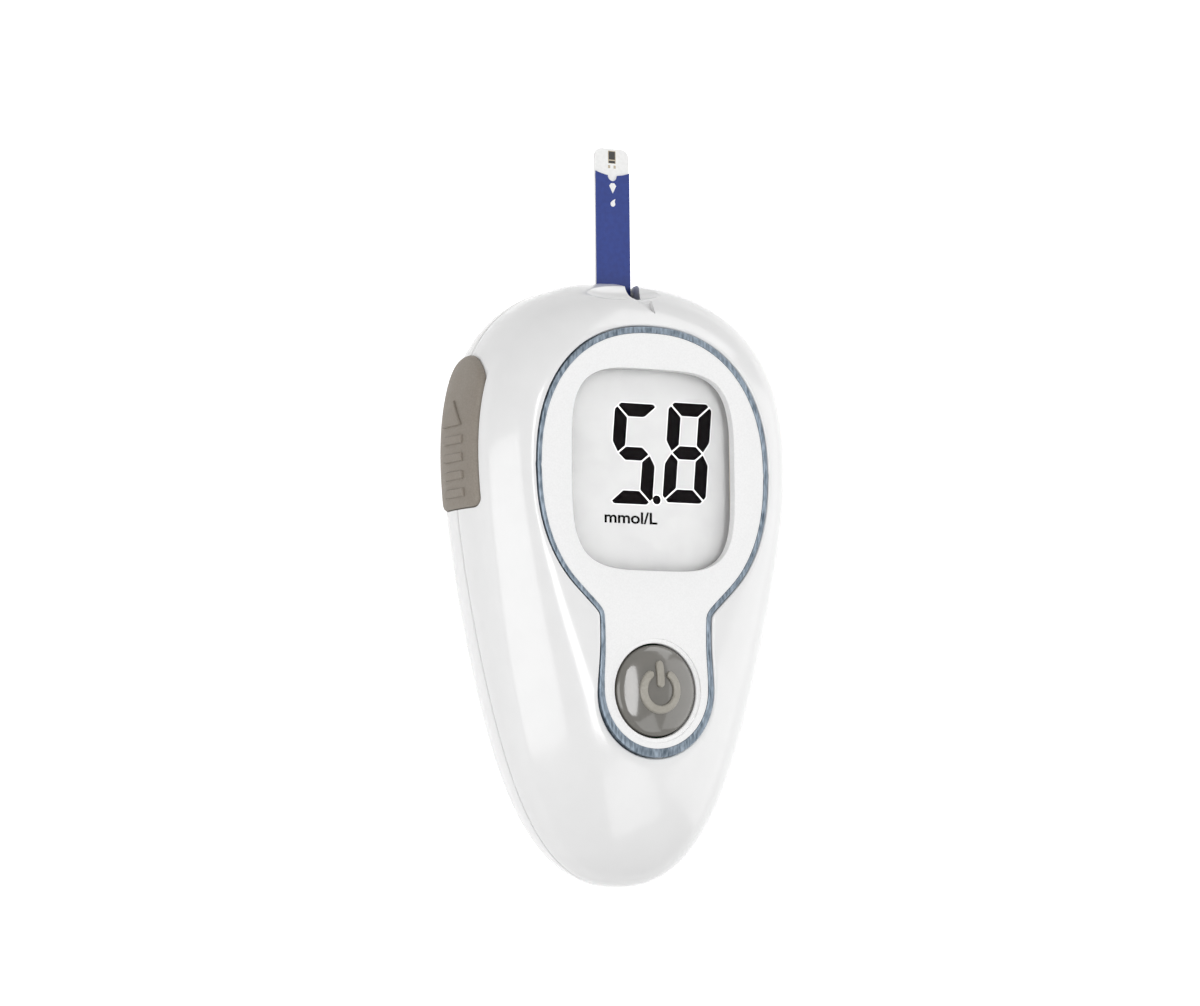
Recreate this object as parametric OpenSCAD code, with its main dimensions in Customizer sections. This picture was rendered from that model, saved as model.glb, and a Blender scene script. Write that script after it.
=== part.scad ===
// Blood glucose meter with a test strip, thumb ejector and replaceable cells.
// The meter lies on its back: +Z is the display side, +Y the strip end, +X its right-hand side.
// The origin is on the flat back, straight behind the middle of the display window.

/* [Casing] */
// Length of the casing
body_l = 98; // [94:1:104]
// Greatest width of the casing
body_w = 59.3; // [58:0.1:64]
// Thickness from the flat back to the flat of the front
body_t = 26; // [26:0.25:27.5]
// Height of the parting line above the flat back
seam_z = 13; // [12.9:0.05:13.1]
// Middle of the casing's length
body_mid_y = -17.6; // [-18.5:0.1:-17.5]
// Wall thickness of both shells
wall = 2; // [1.8:0.1:2.2]
// Width of the fine gap along the parting line
seam_gap = 0.16; // [0.1:0.02:0.3]

/* [Face] */
// Half width of the face plate's upper lobe
lobe_w = 21.6; // [21:0.1:22.5]
// Reach of the upper lobe towards the strip end
lobe_top = 23.1; // [22:0.1:23.4]
// Reach of the upper lobe towards the button
lobe_low = 24.2; // [23.5:0.1:25]
// Radius of the face plate's lower end
foot_r = 10.7; // [10.6:0.1:11.5]
// Half width of the face plate's waist
waist_w = 10.3; // [9.8:0.1:10.6]
// Thickness of the face plate
plate_t = 1.4; // [1.2:0.1:1.6]
// Width of the trim ring at the sides
trim_w = 0.8; // [0.7:0.1:1.1]
// Extra width of the trim ring at its lower end
trim_foot = 0.4; // [0.3:0.1:0.7]
// Width of the display window
window_w = 30.5; // [29:0.5:32]
// Height of the display window
window_h = 32.5; // [30:0.5:33]

/* [Button] */
// Diameter of the push button
button_d = 14.6; // [13.6:0.1:15]
// Height of the button's dome above its rim
button_dome = 1.3; // [0.8:0.1:1.6]
// Travel of the button
button_travel = 0.5; // [0.3:0.05:0.6]
// Distance of the button from the display's middle
button_y = -35.4; // [-36:0.1:-35]

/* [Ejector] */
// Length of the thumb slide
slide_l = 24.7; // [23:0.1:25]
// Width of the thumb slide, across the parting line
slide_w = 11.2; // [10:0.1:12]
// How far the thumb slide stands proud of the casing
slide_proud = 0.6; // [0.5:0.05:0.8]
// Travel of the ejector
eject_travel = 6; // [4:0.5:6.5]

/* [Strip] */
// Width of the test strip
strip_w = 6.4; // [5.5:0.1:6.6]
// Length of the test strip
strip_l = 39; // [34:0.5:40]
// Thickness of the strip's carrier
strip_t = 0.4; // [0.3:0.05:0.5]
// Thickness of the strip's cover film
film_t = 0.2; // [0.1:0.05:0.25]

/* [Battery] */
// Diameter of one cell
cell_d = 10.5; // [10:0.1:10.6]
// Length of one cell
cell_l = 44.5; // [42:0.5:44.5]
// Thickness of the battery door
door_t = 1.8; // [1.5:0.1:2]

/* [Board] */
// Thickness of the circuit board
board_t = 1.6; // [1.2:0.1:1.6]

/* [Hidden] */
$fn = 64;
fit = 0.15;

// Casing outline and domes
rim_count = 60;
lean = 0.309;
fullness = 0.232;
rim_round = 0.887;
crown_y = -8;
heel_y = -15.5;
lobe_round = 2.25;
neck_l = 7.8;
neck_flare = 0.012;
neck_blend = 4.4;
ledge_outset = 1.6;
front_h = body_t - seam_z + 3;
front_k = 0.695;
foot_soft = 0.287;
cap_soft = 0.8;
back_h = seam_z + 2;
back_k = 0.822;
front_levels = [5, 12, 22, 33, 44, 56, 72];
back_levels = [66, 52, 41, 31, 21, 12, 5];
top_y = body_mid_y + body_l / 2;
back_top = seam_z - seam_gap / 2;
// Length that reaches well outside the casing
beyond = body_l;

// Heights of the face parts
plate_z = body_t - 0.45;
ledge_z = plate_z - plate_t;
ledge_t = 1.2;
ledge_w = 2.6;
trim_z = plate_z + 0.15;
lens_t = ledge_t;
lens_margin = 1.1;

// Board and the parts on it
board_z = seam_z + 2;
board_top = board_z + board_t;
board_scale = 0.8;
peg_x = 0.33 * body_w;
peg_at = [[-peg_x, -6], [peg_x, 6]];
peg_r = 1.5;
pin_r = 0.7;
frame_top = ledge_z - ledge_t - 0.5;
frame_half = 17.2;
frame_y0 = -20.8;
frame_y1 = 18;
frame_wall = 1;
panel_t = 2.2;
zebra_half = 14;
zebra_w = 1.8;
buzzer_d = 9;
buzzer_h = 2.5;
buzzer_at = [10.5, 7];
big_chip = 9;
small_chip = 4.5;
chip_h = 1.2;
leg_out = 0.7;
leg_t = 0.3;

// Push switch under the button
switch_size = 6;
switch_h = 2.2;
plunger_r = 1.6;
switch_floor = 0.3;
plunger_z = board_top + switch_floor + button_travel + 0.3;
stem_z = plunger_z + 1.5;
stem_r = 1.5;
mark_r = 3.2;
mark_t = 0.8;
mark_high = 0.35;
moat_w = 0.7;
moat_t = 0.3;
button_rim_z = plate_z - 0.15;
button_play = 0.3;
flange_r = button_d / 2 + 1.6;
flange_t = 1.2;

// Screw posts: the two upper ones meet face to face, the two lower ones clamp the board
upper_screws = [[-13, 23], [13, 23]];
lower_x = 0.295 * body_w;
lower_screws = [[-lower_x, -24], [lower_x, -24]];
all_screws = concat(upper_screws, lower_screws);
post_r = 3.2;
boss_r = 2.5;
screw_r = 0.95;
screw_head_r = 2;
screw_head_t = 1.6;
screw_well_r = 2.3;
screw_well_z = 9;
screw_tip_z = 21;
screw_play = 0.2;

// Strip port
slot_w = strip_w + 0.8;
slot_t = strip_t + film_t + 0.5;
strip_z = seam_z - 0.1;
strip_mid = strip_z + (strip_t + film_t) / 2;
strip_y = 15.2;
port_floor = 26;
port_wall = 1;
port_skin = 1.4;
port_w = strip_w + 1.4;
port_h = 9.9;

// Connector
plug_half = 7;
plug_y0 = 14.6;
plug_y1 = port_floor - port_wall - 0.2;
plug_z0 = seam_z - 1.6;
channel_w = strip_w + 0.4;
contact_w = 0.7;
contact_pitch = 1.2;
contact_count = 5;
contact_t = 0.25;
contact_lift = 0.25;

// Ejector
slide_y0 = -6.8;
slide_y1 = slide_y0 + slide_l;
slide_shift = 0.8;
slide_relief = 0.35;
floor_x = 2.7 - body_w / 2;
floor_wall = 1.3;
slide_gap = 0.3;
stem_y = 1;
stem_l = 8;
stem_t = 2.4;
stem_play = 0.3;
arm_x = floor_x + floor_wall + 1.3;
arm_y0 = 2;
arm_y1 = 8;
arm_z0 = seam_z - 0.6;
arm_t = 1.6;
rail_at = [-19, -5];
rail_t = 1.2;
seat_half = 2;
seat_t = 1.2;
pusher_half = 2.5;
spring_x = -9.5;
spring_r = 1.4;
spring_wire = 0.4;
spring_turns = 7;
spring_z = seam_z + 0.2;
spring_seat_y = 18.6;
spring_pin_r = 0.9;

// Battery bay, door and contacts
bay_y1 = -2.5;
bay_y0 = bay_y1 - cell_l - 4;
bay_end = 2.1;
bay_wall = 1.3;
cell_gap = 0.5;
cell_x = (cell_d + cell_gap) / 2;
cell_z = door_t + 0.75 + cell_d / 2;
cell_y0 = bay_y0 + bay_end;
cell_nub = 1.2;
bay_half = cell_x + cell_d / 2 + 1.25;
bay_top = cell_z + cell_d / 2 + 0.3;
bay_roof = 1;
door_half = bay_half - 0.6;
door_y0 = bay_y0 + 1.2;
door_y1 = bay_y1 - 0.8;
door_gap = 0.2;
door_sunk = 0.12;
door_corner = 2.5;
hook_half = 1.2;
hook_z = wall + 1.5;
hook_t = 0.9;
hook_reach = 1;
cell_play = 0.35;
groove_depth = 0.5;
groove_pitch = 1.8;
leaf_t = 0.3;
leaf_w = 4.4;
plate_half = 3.2;
plate_high = 3.6;
battery_tip_r = 1.9;

// ---- Outlines ----

function side(x) = x < 0 ? -1 : 1;

// Width profile of the egg outline, u from -1 at the foot to 1 at the strip end
function egg(u) = pow(max(0, 1 - u * u), rim_round / 2) * (1 + lean * u + fullness * u * u);
egg_peak = max([for (i = [-60:60]) egg(i / 60)]);
function rim_base(a) = [side(sin(a)) * body_w / 2 / egg_peak * egg(cos(a)), body_mid_y + body_l / 2 * cos(a)];
function rim_out(a) = let (t = rim_base(a + 1) - rim_base(a - 1)) [-t.y, t.x] / norm(t);
function rim_point(a, inset) = rim_base(a) - inset * rim_out(a);
function rim(inset) = [for (i = [0:rim_count - 1]) rim_point(360 * i / rim_count, inset)];

// Keyhole outline of the face: a full upper lobe run into a round foot through a waist
key_low = button_y - foot_r;
key_mid = (lobe_top + key_low) / 2;
key_half = (lobe_top - key_low) / 2;
function lobe(y) = let (u = min(1, abs(y) / (y > 0 ? lobe_top : lobe_low)))
    lobe_w * pow(1 - pow(u, lobe_round), 1 / lobe_round);
function smooth(t) = let (s = min(1, max(0, t))) s * s * (3 - 2 * s);
function neck(y) = y < button_y ? sqrt(max(0, foot_r * foot_r - pow(y - button_y, 2)))
    : foot_r - (foot_r - waist_w) * smooth((y - button_y) / neck_l)
        + neck_flare * pow(max(0, y - button_y - 9.4), 2);
function blend(a, b, r) = max(a, b) + pow(max(0, r - abs(a - b)), 2) / (4 * r);
function key_w(y) = y > 0 ? lobe(y) : y < button_y ? neck(y) : blend(lobe(y), neck(y), neck_blend);
function key_base(a) = [side(sin(a)) * key_w(key_mid + key_half * cos(a)), key_mid + key_half * cos(a)];
function key_out(a) = let (t = key_base(a + 1.5) - key_base(a - 1.5)) [-t.y, t.x] / norm(t);
function keyhole(inset) = [for (i = [0:rim_count - 1])
    let (a = 360 * i / rim_count) key_base(a) - inset * key_out(a)];
function trim_at(a) = trim_w + 0.25 * pow(abs(cos(a)), 3) + trim_foot * pow((1 - cos(a)) / 2, 6);
function trim_inner() = [for (i = [0:rim_count - 1])
    let (a = 360 * i / rim_count) key_base(a) - trim_at(a) * key_out(a)];

// Rounded square whose sides bulge a little
function window(grow) = [for (i = [0:71]) let (a = 5 * i)
    [side(cos(a)) * (window_w / 2 + grow) * pow(abs(cos(a)), 0.5),
        side(sin(a)) * (window_h / 2 + grow) * pow(abs(sin(a)), 0.5)]];

// ---- Casing body ----

function soft_cap(z, top) = (z + top - sqrt(pow(z - top, 2) + cap_soft * cap_soft)) / 2;
function softness(p) = let (v = p - [0, crown_y]) front_k + foot_soft * pow((1 - v.y / norm(v)) / 2, 3);
function front_point(p, level, inset) = let (
        k = softness(p),
        q = [0, crown_y] + pow(cos(level), k) * (p - [0, crown_y]),
        z = seam_z + (front_h - inset) * pow(sin(level), k)
    ) [q.x, q.y, soft_cap(z, body_t - inset)];
function back_point(p, level, inset) = let (
        q = [0, heel_y] + pow(cos(level), back_k) * (p - [0, heel_y])
    ) [q.x, q.y, seam_z - (back_h - inset) * pow(sin(level), back_k)];
// Height of the front along the middle line, and its slope there
function crest_z(y) = let (c = (y - crown_y) / (top_y - crown_y))
    soft_cap(seam_z + front_h * pow(1 - pow(c, 2 / front_k), front_k / 2), body_t);
function crest_slope(y) = atan2(crest_z(y + 0.2) - crest_z(y - 0.2), 0.4);

// The casing as one closed egg, moved inwards all round by inset
module egg_body(inset) {
    edge = rim(inset);
    rings = concat(
        [for (level = back_levels) [for (p = edge) back_point(p, level, inset)]],
        [[for (p = edge) [p.x, p.y, seam_z]]],
        [for (level = front_levels) [for (p = edge) front_point(p, level, inset)]]);
    last = len(rings) - 1;
    count = rim_count;
    middle = concat([[0, crown_y, rings[0][0].z]], [[0, crown_y, rings[last][0].z]]);
    low = len(rings) * count;
    polyhedron(
        points = concat([for (ring = rings) each ring], middle),
        faces = concat(
            [for (i = [0:count - 1]) [low, (i + 1) % count, i]],
            [for (r = [0:last - 1]) for (i = [0:count - 1]) let (j = (i + 1) % count)
                each [[r * count + i, (r + 1) * count + j, (r + 1) * count + i],
                    [r * count + i, r * count + j, (r + 1) * count + j]]],
            [for (i = [0:count - 1]) [low + 1, last * count + i, last * count + (i + 1) % count]]));
}

module slab(z0, z1) {
    translate([-beyond, -1.5 * beyond, z0]) cube([2 * beyond, 3 * beyond, z1 - z0]);
}

module keyhole_prism(inset, z0, z1) {
    translate([0, 0, z0]) linear_extrude(z1 - z0) polygon(keyhole(inset));
}

module rim_prism(inset, z0, z1) {
    translate([0, 0, z0]) linear_extrude(z1 - z0) polygon(rim(inset));
}

module box(x0, x1, y0, y1, z0, z1) {
    translate([x0, y0, z0]) cube([x1 - x0, y1 - y0, z1 - z0]);
}

module at_points(points) {
    for (p = points) translate([p.x, p.y, 0]) children();
}

// ---- Cuts shared by both shells ----

// Outline of the thumb slide on the casing's side, in Y and Z
module slide_outline(grow, reach) {
    r_top = slide_w / 2;
    r_low = 1.5;
    offset(delta = grow) hull() {
        translate([slide_y1 - r_top + reach, seam_z]) circle(r_top, $fn = 40);
        for (s = [-1, 1]) translate([slide_y0 + r_low, seam_z + s * (slide_w / 2 - r_low)])
            circle(r_low, $fn = 20);
    }
}

// A prism along X over an outline drawn in Y and Z
module along_x(x0, x1) {
    translate([x0, 0, 0]) rotate([90, 0, 90]) linear_extrude(x1 - x0) children();
}

// A prism along Y over an outline drawn in X and Z
module along_y(y0, y1) {
    translate([0, y1, 0]) rotate([90, 0, 0]) linear_extrude(y1 - y0) children();
}

module slide_pocket() {
    along_x(-beyond, floor_x) slide_outline(fit, eject_travel);
    box(-beyond, arm_x, stem_y - stem_play, stem_y + stem_l + eject_travel + stem_play,
        seam_z - stem_t / 2 - stem_play, seam_z + stem_t / 2 + stem_play);
}

// Block behind the slide's pocket
module slide_block() {
    high = slide_w / 2 + 1.8;
    box(-beyond, floor_x + floor_wall, slide_y0 - 2, slide_y1 + 2, seam_z - high, seam_z + high);
}

module strip_slot() {
    box(-slot_w / 2, slot_w / 2, plug_y1 - 3, top_y + 5, strip_mid - slot_t / 2, strip_mid + slot_t / 2);
}

// V-shaped outline of the strip port, in X and Z
module port_outline() {
    steps = 6;
    flank = [for (i = [0:steps]) [port_w / 2 * (1 - pow(i / steps, 1.3)), seam_z + port_h * i / steps]];
    polygon(concat([[-port_w / 2, seam_z - 1], [port_w / 2, seam_z - 1]], flank,
        [for (i = [steps - 1:-1:0]) [-flank[i].x, flank[i].y]]));
}

// Small engraved triangle that points from the port to the display
module port_mark() {
    mark_y = 26.4;
    mark_depth = 0.45;
    translate([0, mark_y, crest_z(mark_y) - mark_depth]) rotate([crest_slope(mark_y), 0, 0])
        linear_extrude(3) polygon([[-1.5, 1.2], [1.5, 1.2], [0, -1.6]]);
}

module door_outline(grow) {
    offset(r = door_corner + grow, $fn = 24) translate([-door_half + door_corner, door_y0 + door_corner])
        square([2 * (door_half - door_corner), door_y1 - door_y0 - 2 * door_corner]);
}

// ---- Front shell ----

// What stands inside the front shell: ledge for the face plate, port, slide block and screw bosses
module front_inside() {
    keyhole_prism(-ledge_outset, ledge_z - ledge_t, beyond);
    along_y(port_floor - port_wall, beyond) offset(r = port_skin, $fn = 16) port_outline();
    slide_block();
    at_points(lower_screws) translate([0, 0, board_top]) cylinder(r = boss_r, h = 20, $fn = 32);
    at_points(upper_screws) translate([0, 0, board_z]) cylinder(r = boss_r, h = 20, $fn = 32);
}

module front_shell() {
    color("white") difference() {
        intersection() {
            egg_body(0);
            slab(seam_z + seam_gap / 2, beyond);
        }
        difference() {
            egg_body(wall);
            front_inside();
        }
        // Rebate for the back shell's tongue
        difference() {
            rim_prism(wall / 2 - 0.1, 0, seam_z + 1.4);
            rim_prism(wall + 0.2, -1, seam_z + 2);
        }
        keyhole_prism(-fit, ledge_z, beyond);
        keyhole_prism(ledge_w, 0, beyond);
        slide_pocket();
        strip_slot();
        along_y(port_floor, beyond) port_outline();
        port_mark();
        at_points(all_screws) cylinder(r = screw_r + 0.02, h = screw_tip_z + 0.6, $fn = 24);
    }
}

// ---- Back shell ----

module bay_block(z0) {
    half = bay_half + bay_wall;
    box(-half, half, bay_y0 - bay_wall, bay_y1 + bay_wall, z0, bay_top + bay_roof);
}

module spring_seat(z0) {
    box(spring_x - seat_half, spring_x + seat_half, spring_seat_y, spring_seat_y + seat_t, z0, board_z - 0.3);
}

// What stands inside the back shell up to the parting line
module back_inside() {
    box(-slot_w / 2 - port_skin, slot_w / 2 + port_skin, port_floor - port_wall, beyond,
        strip_mid - slot_t / 2 - port_skin, beyond);
    box(-0.7, 0.7, port_floor - port_wall, beyond, 0, seam_z);
    slide_block();
    at_points(all_screws) cylinder(r = post_r, h = board_z, $fn = 32);
    bay_block(0);
    at_points(peg_at) cylinder(r = peg_r, h = board_z, $fn = 20);
    // Rails under the ejector's arm
    for (x = rail_at) box(x - rail_t / 2, x + rail_t / 2, bay_y1, arm_y1 + eject_travel, 0, arm_z0 - 0.05);
    // Seat of the ejector's spring
    spring_seat(0);
}

// The same things where they rise above the parting line
module back_risers() {
    at_points(all_screws) translate([0, 0, back_top])
        cylinder(r = post_r, h = board_z - back_top, $fn = 32);
    bay_block(back_top);
    at_points(peg_at) translate([0, 0, back_top]) cylinder(r = peg_r, h = board_z - back_top, $fn = 20);
    at_points(peg_at) translate([0, 0, board_z - 0.5]) cylinder(r = pin_r, h = board_t + 1, $fn = 16);
    spring_seat(back_top);
}

module back_shell() {
    color("white") difference() {
        union() {
            difference() {
                intersection() {
                    egg_body(0);
                    slab(0, back_top);
                }
                difference() {
                    intersection() {
                        egg_body(wall);
                        slab(wall, beyond);
                    }
                    back_inside();
                }
            }
            // Tongue along the parting line
            difference() {
                rim_prism(wall / 2 + 0.1, back_top, seam_z + 1.2);
                rim_prism(wall - 0.1, seam_z - 1, seam_z + 2);
            }
            back_risers();
        }
        // Battery bay and its door opening
        intersection() {
            egg_body(wall);
            box(-bay_half, bay_half, bay_y0, bay_y1, 0.5, bay_top);
        }
        translate([0, 0, -1]) linear_extrude(cell_z) door_outline(door_gap);
        cell_room(cell_play);
        slide_pocket();
        strip_slot();
        box(-port_w / 2 - 0.4, port_w / 2 + 0.4, port_floor, beyond, seam_z - seam_gap / 2, beyond);
        at_points(all_screws) {
            translate([0, 0, -1]) cylinder(r = screw_well_r, h = screw_well_z + 1, $fn = 32);
            cylinder(r = screw_r + screw_play, h = 30, $fn = 24);
        }
    }
}

// ---- Face ----

module face_plate() {
    hole_r = button_d / 2 + button_play;
    color("whitesmoke") difference() {
        translate([0, 0, ledge_z]) linear_extrude(plate_t) polygon(trim_inner());
        translate([0, 0, ledge_z - 1]) linear_extrude(plate_t + 2) polygon(window(0));
        translate([0, button_y, ledge_z - 1]) cylinder(r = hole_r, h = plate_t + 2, $fn = 72);
        // Shallow moat round the button
        translate([0, button_y, plate_z - moat_t]) cylinder(r = hole_r + moat_w, h = 1, $fn = 72);
    }
}

module trim_ring() {
    color("lightsteelblue") translate([0, 0, ledge_z]) linear_extrude(trim_z - ledge_z) difference() {
        polygon(keyhole(0));
        polygon(trim_inner());
    }
}

module display_lens() {
    color("lightcyan") translate([0, 0, ledge_z - lens_t])
        linear_extrude(lens_t) polygon(window(lens_margin));
}

// ---- Display ----

module frame_area(inset) {
    offset(r = 1.2, $fn = 16) translate([-frame_half + inset + 1.2, frame_y0 + inset + 1.2])
        square([2 * (frame_half - inset - 1.2), frame_y1 - frame_y0 - 2 * (inset + 1.2)]);
}

module zebra_area(grow) {
    for (y = [frame_y0 + 2.9, frame_y1 - 2.9])
        translate([-zebra_half - grow, y - zebra_w / 2 - grow])
            square([2 * (zebra_half + grow), zebra_w + 2 * grow]);
}

module lcd_panel() {
    color("gainsboro") translate([0, 0, frame_top - panel_t])
        linear_extrude(panel_t) frame_area(frame_wall + 0.1);
}

module lcd_frame() {
    color("dimgray") difference() {
        translate([0, 0, board_top]) linear_extrude(frame_top - board_top) frame_area(0);
        translate([0, 0, frame_top - panel_t]) linear_extrude(10) frame_area(frame_wall);
        translate([0, 0, board_top - 1]) linear_extrude(10) frame_area(frame_wall + 3.4);
        translate([0, 0, board_top - 1]) linear_extrude(10) zebra_area(0.05);
    }
}

module zebra_strips() {
    color("hotpink") translate([0, 0, board_top])
        linear_extrude(frame_top - panel_t - board_top) zebra_area(0);
}

// ---- Board ----

module circuit_board() {
    outline = [for (p = rim(0)) [0, heel_y] + board_scale * (p - [0, heel_y])];
    color("seagreen") translate([0, 0, board_z]) linear_extrude(board_t) difference() {
        polygon(outline);
        for (p = lower_screws) translate(p) circle(screw_r + 0.35, $fn = 32);
        for (p = upper_screws) translate(p) circle(boss_r + 0.4, $fn = 32);
        for (p = peg_at) translate(p) circle(pin_r + 0.1, $fn = 32);
    }
}

// Square chip with a row of legs on each side
module chip(size, legs, height) {
    half = size / 2;
    difference() {
        translate([-half, -half, leg_t / 2]) cube([size, size, height]);
        translate([1 - half, half - 1, height]) cylinder(r = 0.4, h = 1, $fn = 16);
    }
    pitch = (size - 1) / legs;
    for (turn = [0, 90]) rotate(turn) for (i = [0:legs - 1])
        translate([-half - leg_out, (i - (legs - 1) / 2) * pitch - leg_t / 2, 0])
            cube([size + 2 * leg_out, leg_t, leg_t]);
}

module board_chips() {
    color("black") translate([0, 0, board_top]) {
        translate([-4, -3, 0]) chip(big_chip, 8, chip_h);
        translate([7.5, 5, 0]) chip(small_chip, 4, chip_h);
        translate([-11, -34, 0]) chip(small_chip, 4, chip_h);
    }
}

module board_capacitors() {
    color("tan") translate([0, 0, board_top]) {
        for (y = [-1, 1]) translate([-9, 8 + 2.2 * y, 0]) cylinder(r = 1.8, h = 2.6, $fn = 32);
        for (i = [0:3]) translate([5 + 1.8 * i, -7, 0]) cube([1, 1.8, 0.9]);
        // Can of the crystal
        hull() for (x = [9.5, 12.5]) translate([x, -30, 0]) cylinder(r = 1.6, h = 2.8, $fn = 24);
        for (i = [0:2]) translate([9 + 2 * i, -37, 0]) cube([1, 1.8, 0.9]);
    }
}

module buzzer() {
    color("black") translate([buzzer_at.x, buzzer_at.y, board_z - buzzer_h]) difference() {
        cylinder(r = buzzer_d / 2, h = buzzer_h);
        translate([0, 0, -1]) cylinder(r = 1, h = 2, $fn = 24);
    }
}

// ---- Button ----

module button_switch() {
    color("silver") translate([0, button_y, board_top]) difference() {
        union() {
            translate([-switch_size / 2, -switch_size / 2, 0]) cube([switch_size, switch_size, switch_h]);
            for (x = [-1, 1]) for (y = [-1, 1])
                translate([x * (switch_size / 2 + 0.4) - 0.6, y * 2.2 - 0.4, 0]) cube([1.2, 0.8, 0.3]);
        }
        translate([0, 0, switch_floor]) cylinder(r = plunger_r + 0.25, h = switch_h, $fn = 40);
    }
}

module switch_plunger() {
    color("black") translate([0, button_y, plunger_z])
        cylinder(r = plunger_r, h = stem_z - plunger_z, $fn = 40);
}

// Ring with a gap at the top and a bar in the gap
module standby_mark() {
    difference() {
        circle(mark_r + mark_t / 2, $fn = 48);
        circle(mark_r - mark_t / 2, $fn = 48);
        polygon([[0, 0], [2.6, 4.5], [-2.6, 4.5]]);
    }
    translate([-mark_t / 2, 0.6]) square([mark_t, mark_r + 0.3]);
}

module main_button() {
    r = button_d / 2;
    ball = (r * r + button_dome * button_dome) / (2 * button_dome);
    flange_z = ledge_z - ledge_t - 0.4 - flange_t;
    skirt_z = button_rim_z - 1.6;
    color("dimgray") translate([0, button_y, 0]) {
        rotate_extrude($fn = 72) polygon(concat(
            [[0, stem_z], [stem_r, stem_z], [stem_r, skirt_z], [r - 1.3, skirt_z], [r - 1.3, flange_z],
                [flange_r, flange_z], [flange_r, flange_z + flange_t], [r, flange_z + flange_t]],
            [for (i = [0:8]) let (a = asin(r / ball) * (1 - i / 8))
                [ball * sin(a), button_rim_z + button_dome - ball * (1 - cos(a))]]));
        intersection() {
            translate([0, 0, button_rim_z + button_dome + mark_high - ball]) sphere(ball, $fn = 96);
            translate([0, 0, button_rim_z]) linear_extrude(4) standby_mark();
        }
    }
}

// ---- Strip connector ----

module strip_connector() {
    color("ivory") difference() {
        box(-plug_half, plug_half, plug_y0, plug_y1, plug_z0, board_z);
        box(-channel_w / 2, channel_w / 2, plug_y0 - 1, plug_y1 + 1,
            strip_mid - slot_t / 2, strip_mid + slot_t / 2);
        for (i = [0:contact_count - 1]) let (x = (i - (contact_count - 1) / 2) * contact_pitch)
            box(x - contact_w / 2, x + contact_w / 2, plug_y0 - 1, plug_y1 - 1.8, strip_mid, board_z + 1);
        // Lightening pockets beside the channel
        for (s = [-1, 1]) translate([s * (plug_half - 1.6), (plug_y0 + plug_y1) / 2, plug_z0 - 1])
            linear_extrude(3) offset(r = 0.6, $fn = 12) square([0.8, plug_y1 - plug_y0 - 4], center = true);
    }
}

// Sprung fingers that press on the strip, folded back from their solder tails
module strip_contacts() {
    top = board_z;
    touch = strip_z + strip_t + contact_lift;
    front = plug_y1 - 1.8;
    t = contact_t;
    color("gold") for (i = [0:contact_count - 1]) let (x = (i - (contact_count - 1) / 2) * contact_pitch)
        along_x(x - contact_w / 2, x + contact_w / 2) polygon([
            [plug_y0 - 1.2, top], [front, top], [front, top - 1.1], [front - 0.5, top - 1.3], [18.3, touch],
            [17.7, touch], [16.6, touch + 0.5], [16.6, touch + 0.5 + t], [17.7, touch + t], [18.3, touch + t],
            [front - 0.6, top - 1], [front - t, top - 0.85], [front - t, top - t], [plug_y0 - 1.2, top - t]]);
}

// ---- Ejector ----

module slide_relief_shape() {
    mid = seam_z;
    polygon([[10.1, mid], [6.2, mid - 1.9], [6.2, mid + 1.9]]);
    for (y = [4, 1.3, -1.4, -4.1]) translate([y, mid])
        offset(r = 0.55, $fn = 16) square([0.1, 4.4], center = true);
}

module ejector_slider() {
    color("dimgray") difference() {
        union() {
            intersection() {
                translate([0, slide_shift, 0]) egg_body(-slide_proud);
                along_x(-beyond, arm_x - 0.4) slide_outline(0, 0);
            }
            intersection() {
                translate([0, slide_shift, 0]) egg_body(-slide_proud - slide_relief);
                along_x(-beyond, floor_x - 1) slide_relief_shape();
            }
            box(floor_x - 1, arm_x, stem_y, stem_y + stem_l, seam_z - stem_t / 2, seam_z + stem_t / 2);
        }
        // Hollow that leaves the pocket's floor and the casing's side free
        difference() {
            intersection() {
                egg_body(-slide_gap);
                box(floor_x - 0.15, 0, -beyond, beyond, 0, beyond);
            }
            box(-beyond, arm_x, stem_y, stem_y + stem_l, seam_z - stem_t / 2, seam_z + stem_t / 2);
        }
    }
}

module ejector_carriage() {
    pusher_z = strip_z;
    color("gray") {
        difference() {
            box(arm_x, pusher_half + 0.6, arm_y0, arm_y1, arm_z0, arm_z0 + arm_t);
            translate([-14.5, (arm_y0 + arm_y1) / 2, 0]) linear_extrude(30)
                offset(r = 1.2, $fn = 24) square([9, 0.2], center = true);
        }
        box(-pusher_half, pusher_half, arm_y1 - 1, strip_y - 0.1, pusher_z, pusher_z + strip_t);
        translate([spring_x, arm_y1 - 0.5, spring_z]) rotate([-90, 0, 0])
            cylinder(r = spring_pin_r, h = 2, $fn = 24);
    }
}

module ejector_spring() {
    sides = 5;
    steps = 12;
    len_y = spring_seat_y - arm_y1 - spring_wire;
    last = spring_turns * steps;
    rings = [for (i = [0:last]) let (a = 360 * i / steps, y = arm_y1 + spring_wire / 2 + len_y * i / last)
        [for (s = [0:sides - 1]) let (b = 360 * s / sides, r = spring_r + spring_wire / 2 * cos(b))
            [spring_x + r * cos(a), y + spring_wire / 2 * sin(b), spring_z + r * sin(a)]]];
    color("silver") polyhedron(
        points = [for (ring = rings) each ring],
        faces = concat(
            [[for (s = [0:sides - 1]) s]],
            [for (i = [0:last - 1]) for (s = [0:sides - 1]) let (t = (s + 1) % sides)
                each [[i * sides + s, (i + 1) * sides + s, (i + 1) * sides + t],
                    [i * sides + s, (i + 1) * sides + t, i * sides + t]]],
            [[for (s = [sides - 1:-1:0]) last * sides + s]]));
}

// ---- Battery ----

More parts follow.
